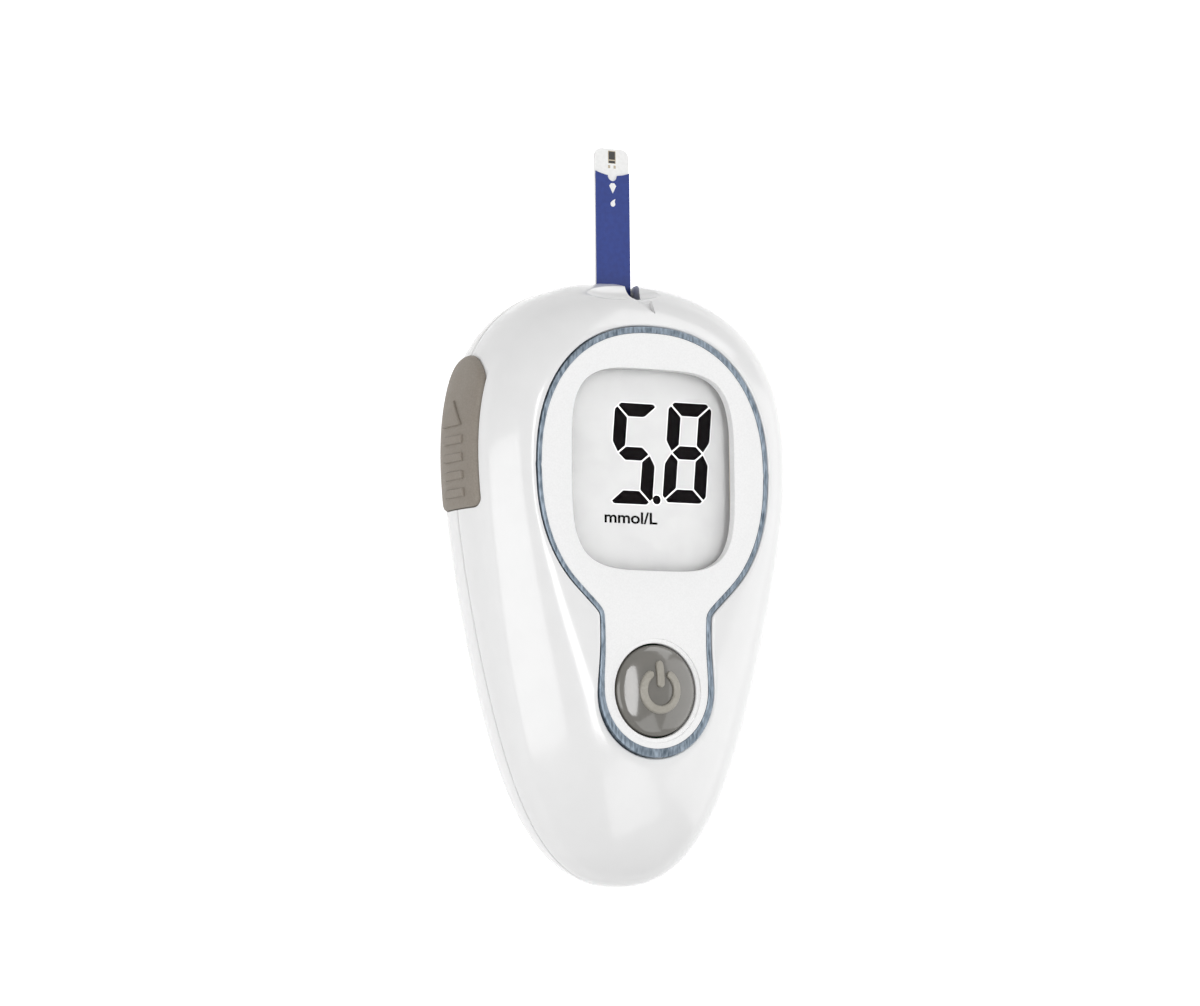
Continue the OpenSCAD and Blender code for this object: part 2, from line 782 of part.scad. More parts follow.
// Room that the cells need, with a little more at their lower end
module cell_room(low) {
    for (s = [-1, 1]) translate([s * cell_x, cell_y0 - low, cell_z]) rotate([-90, 0, 0])
        cylinder(r = cell_d / 2 + cell_play, h = cell_l + low + cell_play);
}

module battery_door() {
    color("white") {
        difference() {
            intersection() {
                egg_body(door_sunk);
                slab(door_sunk, seam_z);
                translate([0, 0, -1]) linear_extrude(cell_z) door_outline(0);
            }
            intersection() {
                egg_body(door_t + door_sunk);
                slab(door_t + door_sunk, beyond);
            }
            cell_room(2);
            // Grip grooves near the upper end
            for (i = [0:3]) translate([0, door_y1 - 4 - groove_pitch * i, -1])
                linear_extrude(1 + door_sunk + groove_depth) offset(r = 0.4, $fn = 16)
                    square([11 - 2 * i, 0.1], center = true);
        }
        // Stiffening rib between the cells
        box(-0.6, 0.6, door_y0 + 3, door_y1 - 3, door_sunk + door_t - 0.3, door_t + 1.5);
        // Hook that catches behind the opening's lower edge
        along_x(-hook_half, hook_half) polygon([[door_y0 + 0.1, door_t], [door_y0 + 1.6, door_t],
            [door_y0 + 1.6, hook_z + hook_t], [door_y0 - hook_reach, hook_z + hook_t],
            [door_y0 - hook_reach, hook_z], [door_y0 + 0.1, hook_z]]);
    }
}

// A cell with its plus nub at the far end
module cell() {
    cylinder(r = cell_d / 2, h = cell_l - cell_nub);
    cylinder(r = battery_tip_r, h = cell_l, $fn = 32);
}

module battery_cells() {
    color("steelblue") {
        translate([-cell_x, cell_y0, cell_z]) rotate([-90, 0, 0]) cell();
        translate([cell_x, cell_y0 + cell_l, cell_z]) rotate([90, 0, 0]) cell();
    }
}

// Bent leaf: flat against the bay's end wall, bowed towards the cell
module leaf(reach) {
    t = leaf_t;
    linear_extrude(leaf_w, center = true) polygon([[0, -plate_high], [t, -plate_high], [t, 1 - plate_high],
        [reach, -0.6], [reach, 0.8], [reach - t, 2.4], [reach - 2 * t, 2.4], [reach - t, 0.7],
        [reach - t, -0.5], [0, 1.2 - plate_high]]);
}

module battery_springs() {
    color("silver") {
        translate([-cell_x, bay_y0, cell_z]) rotate([90, 0, 90]) leaf(bay_end);
        translate([cell_x, bay_y1, cell_z]) rotate([90, 0, -90]) leaf(bay_y1 - cell_y0 - cell_l);
    }
}

module battery_plates() {
    color("silver") {
        box(cell_x - plate_half, cell_x + plate_half, bay_y0, bay_y0 + 0.4,
            cell_z - plate_high, cell_z + plate_high);
        translate([cell_x, bay_y0, cell_z]) rotate([-90, 0, 0]) cylinder(r = 1.5, h = bay_end, $fn = 32);
        box(-cell_x - plate_half, -cell_x + plate_half, bay_y1 - 0.4, bay_y1,
            cell_z - plate_high, cell_z + plate_high);
        translate([-cell_x, bay_y1, cell_z]) rotate([90, 0, 0])
            cylinder(r = 1.5, h = bay_y1 - cell_y0 - cell_l, $fn = 32);
    }
}

// ---- Screws ----

module case_screws() {
    color("silver") at_points(all_screws) difference() {
        union() {
            translate([0, 0, screw_well_z - screw_head_t])
                cylinder(r = screw_head_r, h = screw_head_t, $fn = 32);
            translate([0, 0, screw_well_z - 0.5])
                cylinder(r = screw_r, h = screw_tip_z - screw_well_z, $fn = 24);
        }
        for (turn = [0, 90]) rotate(turn) translate([-1.3, -0.25, screw_well_z - screw_head_t - 0.5])
            cube([2.6, 0.5, 1.4]);
    }
}

// ---- Test strip ----

module strip_base() {
    corner = 1.3;
    y1 = strip_y + strip_l;
    color("white") translate([0, 0, strip_z]) linear_extrude(strip_t) hull() {
        translate([-strip_w / 2, strip_y]) square([strip_w, 1]);
        for (s = [-1, 1]) translate([s * (strip_w / 2 - corner), y1 - corner]) circle(corner, $fn = 32);
    }
}

module strip_cover() {
    y0 = plug_y1 - 0.2;
    y1 = strip_y + strip_l - 3.9;
    color("royalblue") translate([0, 0, strip_z + strip_t]) linear_extrude(film_t) difference() {
        translate([-strip_w / 2, y0]) square([strip_w, y1 - y0]);
        // Hollowed end with the sample window's round notch
        translate([0, y1 + 8.2]) circle(8.8, $fn = 96);
        translate([0, y1 - 0.6]) circle(0.9, $fn = 32);
    }
}

front_shell();
back_shell();
face_plate();
trim_ring();
display_lens();
lcd_panel();
lcd_frame();
zebra_strips();
circuit_board();
board_chips();
board_capacitors();
buzzer();
button_switch();
switch_plunger();
main_button();
strip_connector();
strip_contacts();
ejector_slider();
ejector_carriage();
ejector_spring();
battery_door();
battery_cells();
battery_springs();
battery_plates();
case_screws();
strip_base();
strip_cover();
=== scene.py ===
# %% [markdown]
# # A hand-held blood glucose meter
# The meter is an egg-shaped casing in two glossy white halves, with a satin face plate in a thin
# metal ring, a display, a domed button, a thumb slide on its left side and a test strip in its
# port. It lies on its back: +Z comes out of the display and +Y points to the strip.
#
# The frame brings the CAD solids in metres. Sizes below are in millimetres, as a maker writes
# them, and each finished mesh is scaled to metres once, when it becomes an object.

# %% Load the frame
import math

import bmesh
import bpy
from mathutils import Matrix, Vector


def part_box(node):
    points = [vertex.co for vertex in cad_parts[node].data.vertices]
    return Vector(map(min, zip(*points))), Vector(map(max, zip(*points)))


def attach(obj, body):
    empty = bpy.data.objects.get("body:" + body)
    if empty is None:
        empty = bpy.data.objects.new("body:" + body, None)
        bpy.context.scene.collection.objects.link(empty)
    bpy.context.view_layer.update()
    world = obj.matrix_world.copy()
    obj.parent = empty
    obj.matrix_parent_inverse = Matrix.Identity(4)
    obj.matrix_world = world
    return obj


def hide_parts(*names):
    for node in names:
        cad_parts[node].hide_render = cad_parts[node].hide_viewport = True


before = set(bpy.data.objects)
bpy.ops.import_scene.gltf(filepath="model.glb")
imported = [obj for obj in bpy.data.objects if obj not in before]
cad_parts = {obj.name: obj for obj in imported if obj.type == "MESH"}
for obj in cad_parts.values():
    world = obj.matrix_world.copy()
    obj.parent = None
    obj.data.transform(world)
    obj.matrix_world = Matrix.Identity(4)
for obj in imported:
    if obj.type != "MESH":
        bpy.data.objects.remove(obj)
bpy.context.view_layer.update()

# %% [markdown]
# ## From a bmesh to a piece
# A piece is modelled in millimetres around the shared origin, so it needs no placing. Making it
# an object means merging what coincides, turning its faces outwards, scaling the mesh, and
# telling the frame which body carries it.

# %% Turn a bmesh into a piece
MM = 0.001
MERGE = 0.002
CRISP = 35  # degrees


def soften(piece, angle=CRISP):
    """Shade smooth, and keep edges sharper than the angle crisp."""
    piece.data.shade_smooth()
    piece.data.set_sharp_from_angle(angle=math.radians(angle))


def make_piece(bm, name, material, body=None, smooth_angle=CRISP):
    """Scale a millimetre bmesh to metres and link it as one object at the origin."""
    bmesh.ops.remove_doubles(bm, verts=bm.verts, dist=MERGE)
    bmesh.ops.recalc_face_normals(bm, faces=bm.faces)
    bmesh.ops.scale(bm, vec=(MM, MM, MM), verts=bm.verts)
    mesh = bpy.data.meshes.new(name)
    bm.to_mesh(mesh)
    bm.free()
    mesh.materials.append(material)
    piece = bpy.data.objects.new(name, mesh)
    bpy.context.scene.collection.objects.link(piece)
    soften(piece, smooth_angle)
    if body:
        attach(piece, body)
        print(name, "on", body, "with", len(mesh.polygons), "faces")
    return piece


# %% [markdown]
# ## Materials
# Each finish starts from what the part is made of and how its surface was made. An even colour
# would look like paper, so a finish is two close tones in a noise, with a fine relief and a
# roughness that wanders. Patterns read Object coordinates, which are metres here, so a noise
# scale is one over the grain's size in metres.

# %% Colours and nodes
def linear(code):
    """An sRGB hex colour as linear RGBA."""
    parts = [int(code[i:i + 2], 16) / 255 for i in (1, 3, 5)]
    return [c / 12.92 if c <= 0.04045 else ((c + 0.055) / 1.055) ** 2.4 for c in parts] + [1.0]


def add_node(tree, kind, links=None, **settings):
    """Add one node; links maps an input's name to a value or to another node's output."""
    made = tree.nodes.new(kind)
    for name, value in settings.items():
        setattr(made, name, value)
    for name, value in (links or {}).items():
        if isinstance(value, bpy.types.NodeSocket):
            tree.links.new(value, made.inputs[name])
        else:
            made.inputs[name].default_value = value
    return made


def new_material(name, **constants):
    """A material with a Principled shader whose plain numbers are set on its own sockets."""
    material = bpy.data.materials.new(name)
    material.use_nodes = True
    tree = material.node_tree
    shader = tree.nodes["Principled BSDF"]
    for socket, value in constants.items():
        shader.inputs[socket.replace("_", " ")].default_value = value
    place = add_node(tree, "ShaderNodeTexCoord").outputs["Object"]
    return material, tree, shader, place


# %% Tone, roughness and relief from a noise
# Most of a noise lies between these two, and roughness wanders in patches of six grains.
NOISE_LOW, NOISE_HIGH = 0.3, 0.7
PATCH = 6


def grain(tree, place, size_mm, detail=2.0, stretch=(1, 1, 1)):
    """Noise whose blotches are about size_mm across."""
    spread = add_node(tree, "ShaderNodeMapping", {"Vector": place, "Scale": stretch})
    return add_node(tree, "ShaderNodeTexNoise", {"Vector": spread.outputs["Vector"],
                                                 "Scale": 1 / (size_mm * MM), "Detail": detail})


def two_tone(tree, shader, noise, dark, light, low=0.35, high=0.65):
    """Blend two close colours by a noise and use them as the base colour."""
    ramp = add_node(tree, "ShaderNodeValToRGB", {"Fac": noise.outputs["Fac"]})
    for stop, position, code in zip(ramp.color_ramp.elements, (low, high), (dark, light)):
        stop.position = position
        stop.color = linear(code)
    tree.links.new(ramp.outputs["Color"], shader.inputs["Base Color"])


def rough_range(tree, shader, noise, low, high):
    """Vary the roughness between two values by a noise."""
    spread = add_node(tree, "ShaderNodeMapRange",
                      {"Value": noise.outputs["Fac"], "From Min": NOISE_LOW, "From Max": NOISE_HIGH,
                       "To Min": low, "To Max": high})
    tree.links.new(spread.outputs["Result"], shader.inputs["Roughness"])


def bump(tree, shader, noise, height_mm):
    """Raise the surface by a noise, up to height_mm."""
    raised = add_node(tree, "ShaderNodeBump",
                      {"Height": noise.outputs["Fac"], "Distance": height_mm * MM, "Strength": 1.0})
    tree.links.new(raised.outputs["Normal"], shader.inputs["Normal"])


# %% [markdown]
# ## Plastics, metals and films
# Polished plastic shows clear reflections, satin lacquer a wide soft sheen, and a spark-eroded
# tool leaves a dull grain. Rolled and plated metals take their colour from what they mirror, so
# most of their look is the roughness. Films are thin, even and only a little shiny.

# %% Plastics
def moulded(name, dark, light, grain_mm, rough, relief_mm, spread=0.04, **constants):
    """A moulded or printed surface: close tones, a fine relief and a roughness that wanders."""
    material, tree, shader, place = new_material(name, **constants)
    noise = grain(tree, place, grain_mm)
    two_tone(tree, shader, noise, dark, light)
    rough_range(tree, shader, grain(tree, place, grain_mm * PATCH), rough - spread, rough + spread)
    bump(tree, shader, noise, relief_mm)
    return material


# Polished ABS, moulded in a mirror-finished tool: white, glossy, with the faintest waviness.
abs_white = moulded("abs_white_polished", "#ECECEC", "#EEEEEE", 5.0, 0.17, 0.004, spread=0.02,
                    IOR=1.53, Coat_Weight=0.25, Coat_Roughness=0.06)
# Satin lacquer on the face plate: its mica is 0.05 mm, drawn at 0.28 mm so that it shows.
satin_white = moulded("lacquer_white_satin", "#F2F2F2", "#F7F7F7", 0.28, 0.46, 0.006, spread=0.06,
                      IOR=1.5)
# Polished taupe ABS of the button, glossier than the casing.
abs_taupe_gloss = moulded("abs_taupe_polished", "#686660", "#6D6A64", 2.5, 0.13, 0.003, spread=0.03,
                          IOR=1.5, Coat_Weight=0.6, Coat_Roughness=0.05)
# The mark on the button is the cap's taupe left unpolished, so duller; its lighter colour is
# painted light, a painted highlight for the light that its raised top catches.
taupe_mark_painted_lighter = moulded("abs_taupe_unpolished_painted_lighter", "#9A968C", "#A19D93", 0.4, 0.3, 0.004, IOR=1.5)
# Soft-touch taupe of the thumb slide, from a spark-eroded tool: a fine dull grain.
soft_taupe = moulded("elastomer_taupe_matt", "#857D73", "#8C847A", 0.3, 0.58, 0.012, IOR=1.5)
# Unpainted inner mouldings from a plain tool: dull, in even colours.
inner_grey = moulded("abs_grey_matt", "#93938F", "#9A9A97", 0.5, 0.55, 0.01)
inner_ivory = moulded("pbt_ivory_matt", "#E2DCCB", "#E8E2D3", 0.4, 0.5, 0.01)
inner_black = moulded("epoxy_black_matt", "#1B1B1D", "#232325", 0.3, 0.5, 0.008)
# Layered silicone of the display's connectors, and the board's cured green solder mask.
silicone_pink = moulded("silicone_pink_layered", "#B47C80", "#C48E90", 0.2, 0.6, 0.006)
solder_green = moulded("solder_mask_green", "#195C33", "#1F6B3B", 1.2, 0.32, 0.01, IOR=1.5)
print(len(bpy.data.materials), "materials with the plastics")

# %% Metals
# Rolled and blue-tinted aluminium of the ring, brushed along the meter. The brush marks are
# 0.1 mm apart; they are drawn about 0.4 mm apart and 2 mm long, so that they show.
ring_metal, tree, shader, place = new_material("aluminium_brushed_blue", Metallic=0.85)
streaks = grain(tree, place, 0.8, detail=6.0, stretch=(1.8, 0.4, 1.0))
two_tone(tree, shader, streaks, "#4A555F", "#8C97A2", 0.34, 0.74)
rough_range(tree, shader, streaks, 0.3, 0.5)
bump(tree, shader, grain(tree, place, 0.3, detail=4.0), 0.012)


def plated(name, dark, light, rough, spread=0.06):
    """A plated or drawn metal: clouding 1.5 mm across and drawing marks of 0.25 mm."""
    material, tree, shader, place = new_material(name, Metallic=1.0)
    clouds = grain(tree, place, 1.5, detail=4.0)
    two_tone(tree, shader, clouds, dark, light)
    rough_range(tree, shader, clouds, rough - spread, rough + spread)
    bump(tree, shader, grain(tree, place, 0.25), 0.003)
    return material


# Zinc on steel is grey and a little cloudy, nickel warmer and brighter, gold deep and warm. The
# cells' steel has a printed skin that lets the metal gleam through.
zinc = plated("steel_zinc_plated", "#9A9B9E", "#B4B5B8", 0.34)
nickel = plated("steel_nickel_plated", "#B3B1AB", "#CAC8C2", 0.25)
gold = plated("bronze_gold_plated", "#C99F4B", "#DDB765", 0.28)
cell_skin = plated("steel_printed_cell", "#34617F", "#3F6F8F", 0.35)
# The capacitors are tan ceramic between tinned ends, drawn as one tan metal.
tin_tan = plated("ceramic_tan_fired", "#8E7552", "#A58B66", 0.5)
print(len(bpy.data.materials), "with the metals")

# %% Display and strip
# Clear acrylic over the display, with an anti-reflection coat: it is drawn with the low index
# of that coat, so that reflections stay faint.
clear, tree, shader, place = new_material("acrylic_clear_coated", Roughness=0.02, IOR=1.1,
                                          Transmission_Weight=1.0)
two_tone(tree, shader, grain(tree, place, 8.0), "#FDFDFD", "#FFFFFF")
# Grey polariser film on the liquid-crystal cell: even, and dull beside the glossy casing.
polariser = moulded("polariser_film_grey", "#A2A2A2", "#A6A6A6", 3.0, 0.5, 0.002, IOR=1.3)
# Driven segments of the cell lie against the film above them, so they have no shine of their
# own. Etched electrodes leave a thin clear border round them.
segment_black = moulded("crystal_segment_black", "#060405", "#0A0809", 1.0, 0.5, 0.001, IOR=1.05)
segment_edge = moulded("crystal_edge_white", "#F2F2F2", "#F6F6F6", 1.0, 0.5, 0.001)
# Polyester films of the test strip, smooth and even, and the dull carbon inks printed on them.
film_blue = moulded("polyester_film_blue", "#0C2A78", "#113080", 0.9, 0.38, 0.004)
film_white = moulded("polyester_film_white", "#F0F0EF", "#F6F6F5", 0.6, 0.4, 0.003)
ink_black = moulded("carbon_ink_black", "#262626", "#303030", 0.3, 0.55, 0.003)
ink_tan = moulded("carbon_ink_tan", "#B9AB93", "#C6B9A2", 0.3, 0.5, 0.003)
print(len(bpy.data.materials), "with the films")

# %% Dress the CAD solids that stay
finishes = {
    "display_lens": clear, "lcd_panel": polariser, "lcd_frame": inner_ivory,
    "zebra_strips": silicone_pink, "circuit_board": solder_green, "board_chips": inner_black,
    "board_capacitors": tin_tan, "buzzer": inner_black, "button_switch": zinc,
    "switch_plunger": inner_black, "strip_connector": inner_ivory, "strip_contacts": gold,
    "ejector_carriage": inner_grey, "ejector_spring": zinc, "battery_cells": cell_skin,
    "battery_springs": nickel, "battery_plates": nickel, "case_screws": zinc,
    "strip_base": film_white, "strip_cover": film_blue}
for solid, material in finishes.items():
    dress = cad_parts[solid].data.materials
    dress.clear()
    dress.append(material)
# Light has to reach the display through its window, so the clear window casts no shadow.
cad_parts["display_lens"].visible_shadow = False
print("dressed:", len(finishes), "solids")

# %% [markdown]
# ## The casing's form
# Seen from above, the casing is an egg with its full end at the strip. Its front is a dome over
# that egg, steep at the parting line and nearly flat on top, and it softens towards the foot. A
# subdivided cage would wander off such a form, so one formula gives the outline and another the
# height. Every ring of the shells then lies exactly on the same smooth form, which is what keeps
# reflections clean on glossy plastic.

# %% Sizes of the casing, in millimetres
LENGTH, WIDTH, THICK = 98.0, 59.3, 26.0
SEAM, SEAM_GAP = 13.0, 0.16
WALL = 2.0
MIDDLE_Y = -17.6
CROWN, HEEL = Vector((0.0, -8.0)), Vector((0.0, -15.5))
LEAN, FULLNESS, RIM_ROUND = 0.309, 0.232, 0.887
# Left alone, the dome would rise past the top and the back sink into the table; both are levelled.
OVER_TOP, UNDER_TABLE = 3.0, 2.0
FRONT_HIGH, BACK_DEEP = THICK - SEAM + OVER_TOP, SEAM + UNDER_TABLE
FRONT_SOFT, FOOT_SOFT, BACK_SOFT = 0.695, 0.287, 0.822
TOP_SOFT = 0.8


# %% Egg outline
TURNS = 320
HALVINGS = 34


def egg(u):
    """Half width along the length, u from -1 at the foot to 1 at the strip."""
    return max(0.0, 1 - u * u) ** (RIM_ROUND / 2) * (1 + LEAN * u + FULLNESS * u * u)


EGG_PEAK = max(egg(i / 60) for i in range(-60, 61))


def rim_half(y):
    """Half width of the casing's outline."""
    return WIDTH / 2 / EGG_PEAK * egg(max(-1.0, min(1.0, (y - MIDDLE_Y) / (LENGTH / 2))))


def in_rim(p):
    return abs(p.x) < rim_half(p.y)


def reach(way, inside, centre=CROWN):
    """How far from a centre a direction stays inside an outline, found by halving."""
    low, high = 0.0, LENGTH
    for _ in range(HALVINGS):
        middle = (low + high) / 2
        if inside(centre + way * middle):
            low = middle
        else:
            high = middle
    return low


def normals(points):
    """Outward directions of a clockwise outline."""
    count = len(points)
    sides = [points[(i + 1) % count] - points[i - 1] for i in range(count)]
    return [Vector((-s.y, s.x)).normalized() for s in sides]


rim = []
for i in range(TURNS):
    turn = 2 * math.pi * i / TURNS
    y = MIDDLE_Y + LENGTH / 2 * math.cos(turn)
    rim.append(Vector((math.copysign(rim_half(y), math.sin(turn)), y)))
rim_out = normals(rim)
rays = [(p - CROWN).normalized() for p in rim]
print("casing outline:", TURNS, "points, reach", round(max(p.y for p in rim), 2))


# %% Heights of the two halves
def superellipse(share, softness):
    """Height of a curve at a share of its half width; softness 1 is a circle, less is fuller."""
    return max(0.0, 1 - share ** (2 / softness)) ** (softness / 2)


def soft_top(z, top):
    """Level a height off at the top with a small soft shoulder."""
    return (z + top - math.sqrt((z - top) ** 2 + TOP_SOFT ** 2)) / 2


def front_softness(way):
    """Softness of the dome's curve in a direction from the crown, most at the foot."""
    return FRONT_SOFT + FOOT_SOFT * ((1 - way.y) / 2) ** 3


def front_height(p, inset=0.0):
    """Height of the front dome over a point, inset millimetres under its skin."""
    v = p - CROWN
    way = v.normalized()
    share = min(1.0, v.length / (reach(way, in_rim) - inset))
    rise = superellipse(share, front_softness(way))
    return soft_top(SEAM + (FRONT_HIGH - inset) * rise, THICK - inset)


def back_height(p, inset=0.0):
    """Height of the back over a point; the back is flat where it lies on the table."""
    v = p - HEEL
    share = min(1.0, v.length / (reach(v.normalized(), in_rim, HEEL) - inset))
    return max(inset, SEAM - (BACK_DEEP - inset) * superellipse(share, BACK_SOFT))


print("front over the display:", round(front_height(Vector((0.0, 0.0))), 2))


# %% Lift and shift an outline
def flat(points, z):
    """Lift an outline to one height, or to a list of heights."""
    heights = z if isinstance(z, list) else [z] * len(points)
    return [Vector((p.x, p.y, h)) for p, h in zip(points, heights)]


def shifted(points, ways, distance):
    """Move each point a distance along its own direction."""
    return [p + w * distance for p, w in zip(points, ways)]


# %% [markdown]
# ## The keyhole of the face
# The face plate is a keyhole: a full upper lobe round the display runs through a waist into a
# round foot round the button. The same rays that leave the crown for the rim cross the keyhole
# once each, so one set of rays serves both outlines and the dome between them has no twist.

# %% Keyhole outline
LOBE_HALF, LOBE_TOP, LOBE_LOW, LOBE_ROUND = 21.6, 23.1, 24.2, 2.25
FOOT_R, WAIST_HALF, NECK_L, NECK_BLEND = 10.7, 10.3, 7.8, 4.4
FLARE, FLARE_FROM = 0.012, 9.4
BUTTON_Y = -35.4
KEY_LOW = BUTTON_Y - FOOT_R
KEY_MID, KEY_HALF = (LOBE_TOP + KEY_LOW) / 2, (LOBE_TOP - KEY_LOW) / 2


def lobe(y):
    """Half width of the part round the display."""
    u = min(1.0, abs(y) / (LOBE_TOP if y > 0 else LOBE_LOW))
    return LOBE_HALF * (1 - u ** LOBE_ROUND) ** (1 / LOBE_ROUND)


def neck(y):
    """Half width of the foot and of the waist that flares out above it."""
    if y < BUTTON_Y:
        return math.sqrt(max(0.0, FOOT_R ** 2 - (y - BUTTON_Y) ** 2))
    t = min(1.0, (y - BUTTON_Y) / NECK_L)
    waist = FOOT_R - (FOOT_R - WAIST_HALF) * t * t * (3 - 2 * t)
    return waist + FLARE * max(0.0, y - BUTTON_Y - FLARE_FROM) ** 2


def key_half(y):
    """Half width of the keyhole: lobe and neck, run smoothly into each other."""
    if y > LOBE_TOP or y < KEY_LOW:
        return 0.0
    if y > 0:
        return lobe(y)
    if y < BUTTON_Y:
        return neck(y)
    a, b = lobe(y), neck(y)
    return max(a, b) + max(0.0, NECK_BLEND - abs(a - b)) ** 2 / (4 * NECK_BLEND)


def in_key(p):
    return abs(p.x) < key_half(p.y)


key = [CROWN + ray * reach(ray, in_key) for ray in rays]
key_out = normals(key)
print("keyhole:", round(2 * max(p.x for p in key), 2), "wide and", round(2 * KEY_HALF, 2), "long")

# %% The ring's inner outline
RING_W, RING_TOP_MORE, RING_FOOT_MORE = 0.8, 0.25, 0.4


def ring_width(p):
    """The metal ring is widest at its foot and a little wider at its top than at its sides."""
    c = max(-1.0, min(1.0, (p.y - KEY_MID) / KEY_HALF))
    return RING_W + RING_TOP_MORE * abs(c) ** 3 + RING_FOOT_MORE * ((1 - c) / 2) ** 6


ring_in = [p - w * ring_width(p) for p, w in zip(key, key_out)]
print("ring:", round(min(map(ring_width, key)), 2), "to", round(max(map(ring_width, key)), 2), "wide")

# %% [markdown]
# ## Front shell
# A moulded shell has a wall of even thickness with a lip at the parting line. Solidify would
# give the wall, but neither the lip nor the ledge that carries the plate. So the shell is lofted
# as one closed path of rings: up the outside, over the dome, round the small edge of the
# keyhole, down to the ledge, and back along the inside.

# %% Loft through rings
def ring_of(bm, places):
    """A closed ring of vertices, one for each place."""
    made = bmesh.ops.create_circle(bm, segments=len(places), radius=1.0)["verts"]
    for vertex, place in zip(made, places):
        vertex.co = place
    return list(made)


def edges_of(bm, ring):
    """The edges between neighbours in a closed ring."""
    return [bm.edges.get(pair) for pair in zip(ring, ring[1:] + ring[:1])]


def grow_ring(bm, ring, places):
    """Extrude a closed ring once and put the new vertices at their places."""
    made = bmesh.ops.extrude_edge_only(bm, edges=edges_of(bm, ring))["geom"]
    fresh = {v for v in made if isinstance(v, bmesh.types.BMVert)}
    new_ring = [next(e.other_vert(v) for e in v.link_edges if e.other_vert(v) in fresh) for v in ring]
    for vertex, place in zip(new_ring, places):
        vertex.co = place
    return new_ring


def loft(bm, stations, closed=False):
    """Extrude a ring through a list of stations; closed joins the last ring to the first."""
    first = ring = ring_of(bm, stations[0])
    for places in stations[1:]:
        ring = grow_ring(bm, ring, places)
    if closed:
        bmesh.ops.bridge_loops(bm, edges=edges_of(bm, first) + edges_of(bm, ring))
    return first, ring


def cap(bm, rings):
    """Close each ring with a face."""
    for ring in rings:
        bmesh.ops.contextual_create(bm, geom=ring)


# %% Rings of the front shell
PLATE_SUNK, PLATE_T, LEDGE_T = 0.45, 1.4, 1.2
PLATE_Z = THICK - PLATE_SUNK
LEDGE_Z = PLATE_Z - PLATE_T
FIT = 0.15
# The lip at the seam, and how far ledge and inner skin reach in and out from the keyhole.
LIP_R, LIP_IN, LIP_RISE = 0.12, 0.9, 1.4
LEDGE_IN, LEDGE_OUT, INNER_OUT = 2.6, 1.6, 1.8
EDGE_R = 0.3
# A small rounded edge has one row between its ends, 0.3 of its radius in from the corner.
MIDWAY = 0.3
DOME_RINGS, DOME_CROWDING = 34, 1.25

shell_edge = shifted(key, key_out, FIT + EDGE_R)


def seam_rings(inset, z, way):
    """The seam's face from inside outwards and round its small edge; way is 1 for up, -1 for down."""
    rows = ((inset, 0.0), (LIP_R, 0.0), (LIP_R * MIDWAY, LIP_R * MIDWAY), (0.0, LIP_R))
    return [flat(shifted(rim, rim_out, -inwards), z + way * rise) for inwards, rise in rows]


def dome_ring(row):
    """One ring of the dome; the rows crowd together at the steep parting line."""
    ring = []
    for p, q, ray in zip(rim, shell_edge, rays):
        softness = front_softness(ray)
        end = (q - CROWN).length / (p - CROWN).length
        level = math.acos(end ** (1 / softness)) * (row / DOME_RINGS) ** DOME_CROWDING
        ring.append(p.lerp(q, (1 - math.cos(level) ** softness) / (1 - end)))
    return flat(ring, [front_height(p) for p in ring])


front_rings = seam_rings(LIP_IN, SEAM + SEAM_GAP / 2, 1)
front_rings += [dome_ring(row) for row in range(1, DOME_RINGS + 1)]
edge_z = [place.z for place in front_rings[-1]]
for turn in (math.radians(t) for t in (30, 60, 90)):
    ring = shifted(key, key_out, FIT + EDGE_R * (1 - math.sin(turn)))
    front_rings.append(flat(ring, [z - EDGE_R * (1 - math.cos(turn)) for z in edge_z]))
for grow, z in ((FIT, LEDGE_Z), (-LEDGE_IN, LEDGE_Z), (-LEDGE_IN, LEDGE_Z - LEDGE_T),
                (LEDGE_OUT, LEDGE_Z - LEDGE_T)):
    front_rings.append(flat(shifted(key, key_out, grow), z))
print("front shell:", len(front_rings), "rings to the ledge")

# %% Loft the front shell
INNER_SHARES = (0.0, 0.3, 0.6, 0.8, 0.93, 0.985)
inner_rim = shifted(rim, rim_out, -WALL)
inner_edge = shifted(key, key_out, INNER_OUT)
for share in INNER_SHARES:
    ring = [q.lerp(p, share) for p, q in zip(inner_rim, inner_edge)]
    heights = [min(front_height(p, WALL), z - WALL) for p, z in zip(ring, edge_z)]
    front_rings.append(flat(ring, heights))
front_rings.append(flat(inner_rim, SEAM + LIP_RISE))
front_rings.append(flat(shifted(rim, rim_out, -LIP_IN), SEAM + LIP_RISE))

bm = bmesh.new()
loft(bm, front_rings, closed=True)
front_casing = make_piece(bm, "casing_front", abs_white, "casing")
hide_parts("front_shell")

# %% [markdown]
# ## The cuts in the casing
# The thumb slide runs in a pocket and the strip in a slot, and both shells share them. The front
# shell also has a V notch over the strip, a shallow scoop that guides the strip in, and a small
# pointer. They cross the dome at a slant, where an inset of its faces would not follow their
# outlines, so each is a Boolean with a plain cutter.

# %% Prisms, arcs and cuts
FAR, BELOW = 60.0, -1.0


def prism(bm, outline, axis, low, high):
    """Extrude an outline of two coordinates along the third axis, from low to high."""
    def lift(p, h):
        return {"X": (h, p[0], p[1]), "Y": (p[0], h, p[1]), "Z": (p[0], p[1], h)}[axis]
    base = [bm.verts.new(lift(p, low)) for p in outline]
    face = bmesh.ops.contextual_create(bm, geom=base)["faces"]
    made = bmesh.ops.extrude_face_region(bm, geom=face)["geom"]
    top = [v for v in made if isinstance(v, bmesh.types.BMVert)]
    bmesh.ops.translate(bm, vec=Vector(lift((0, 0), high - low)), verts=top)


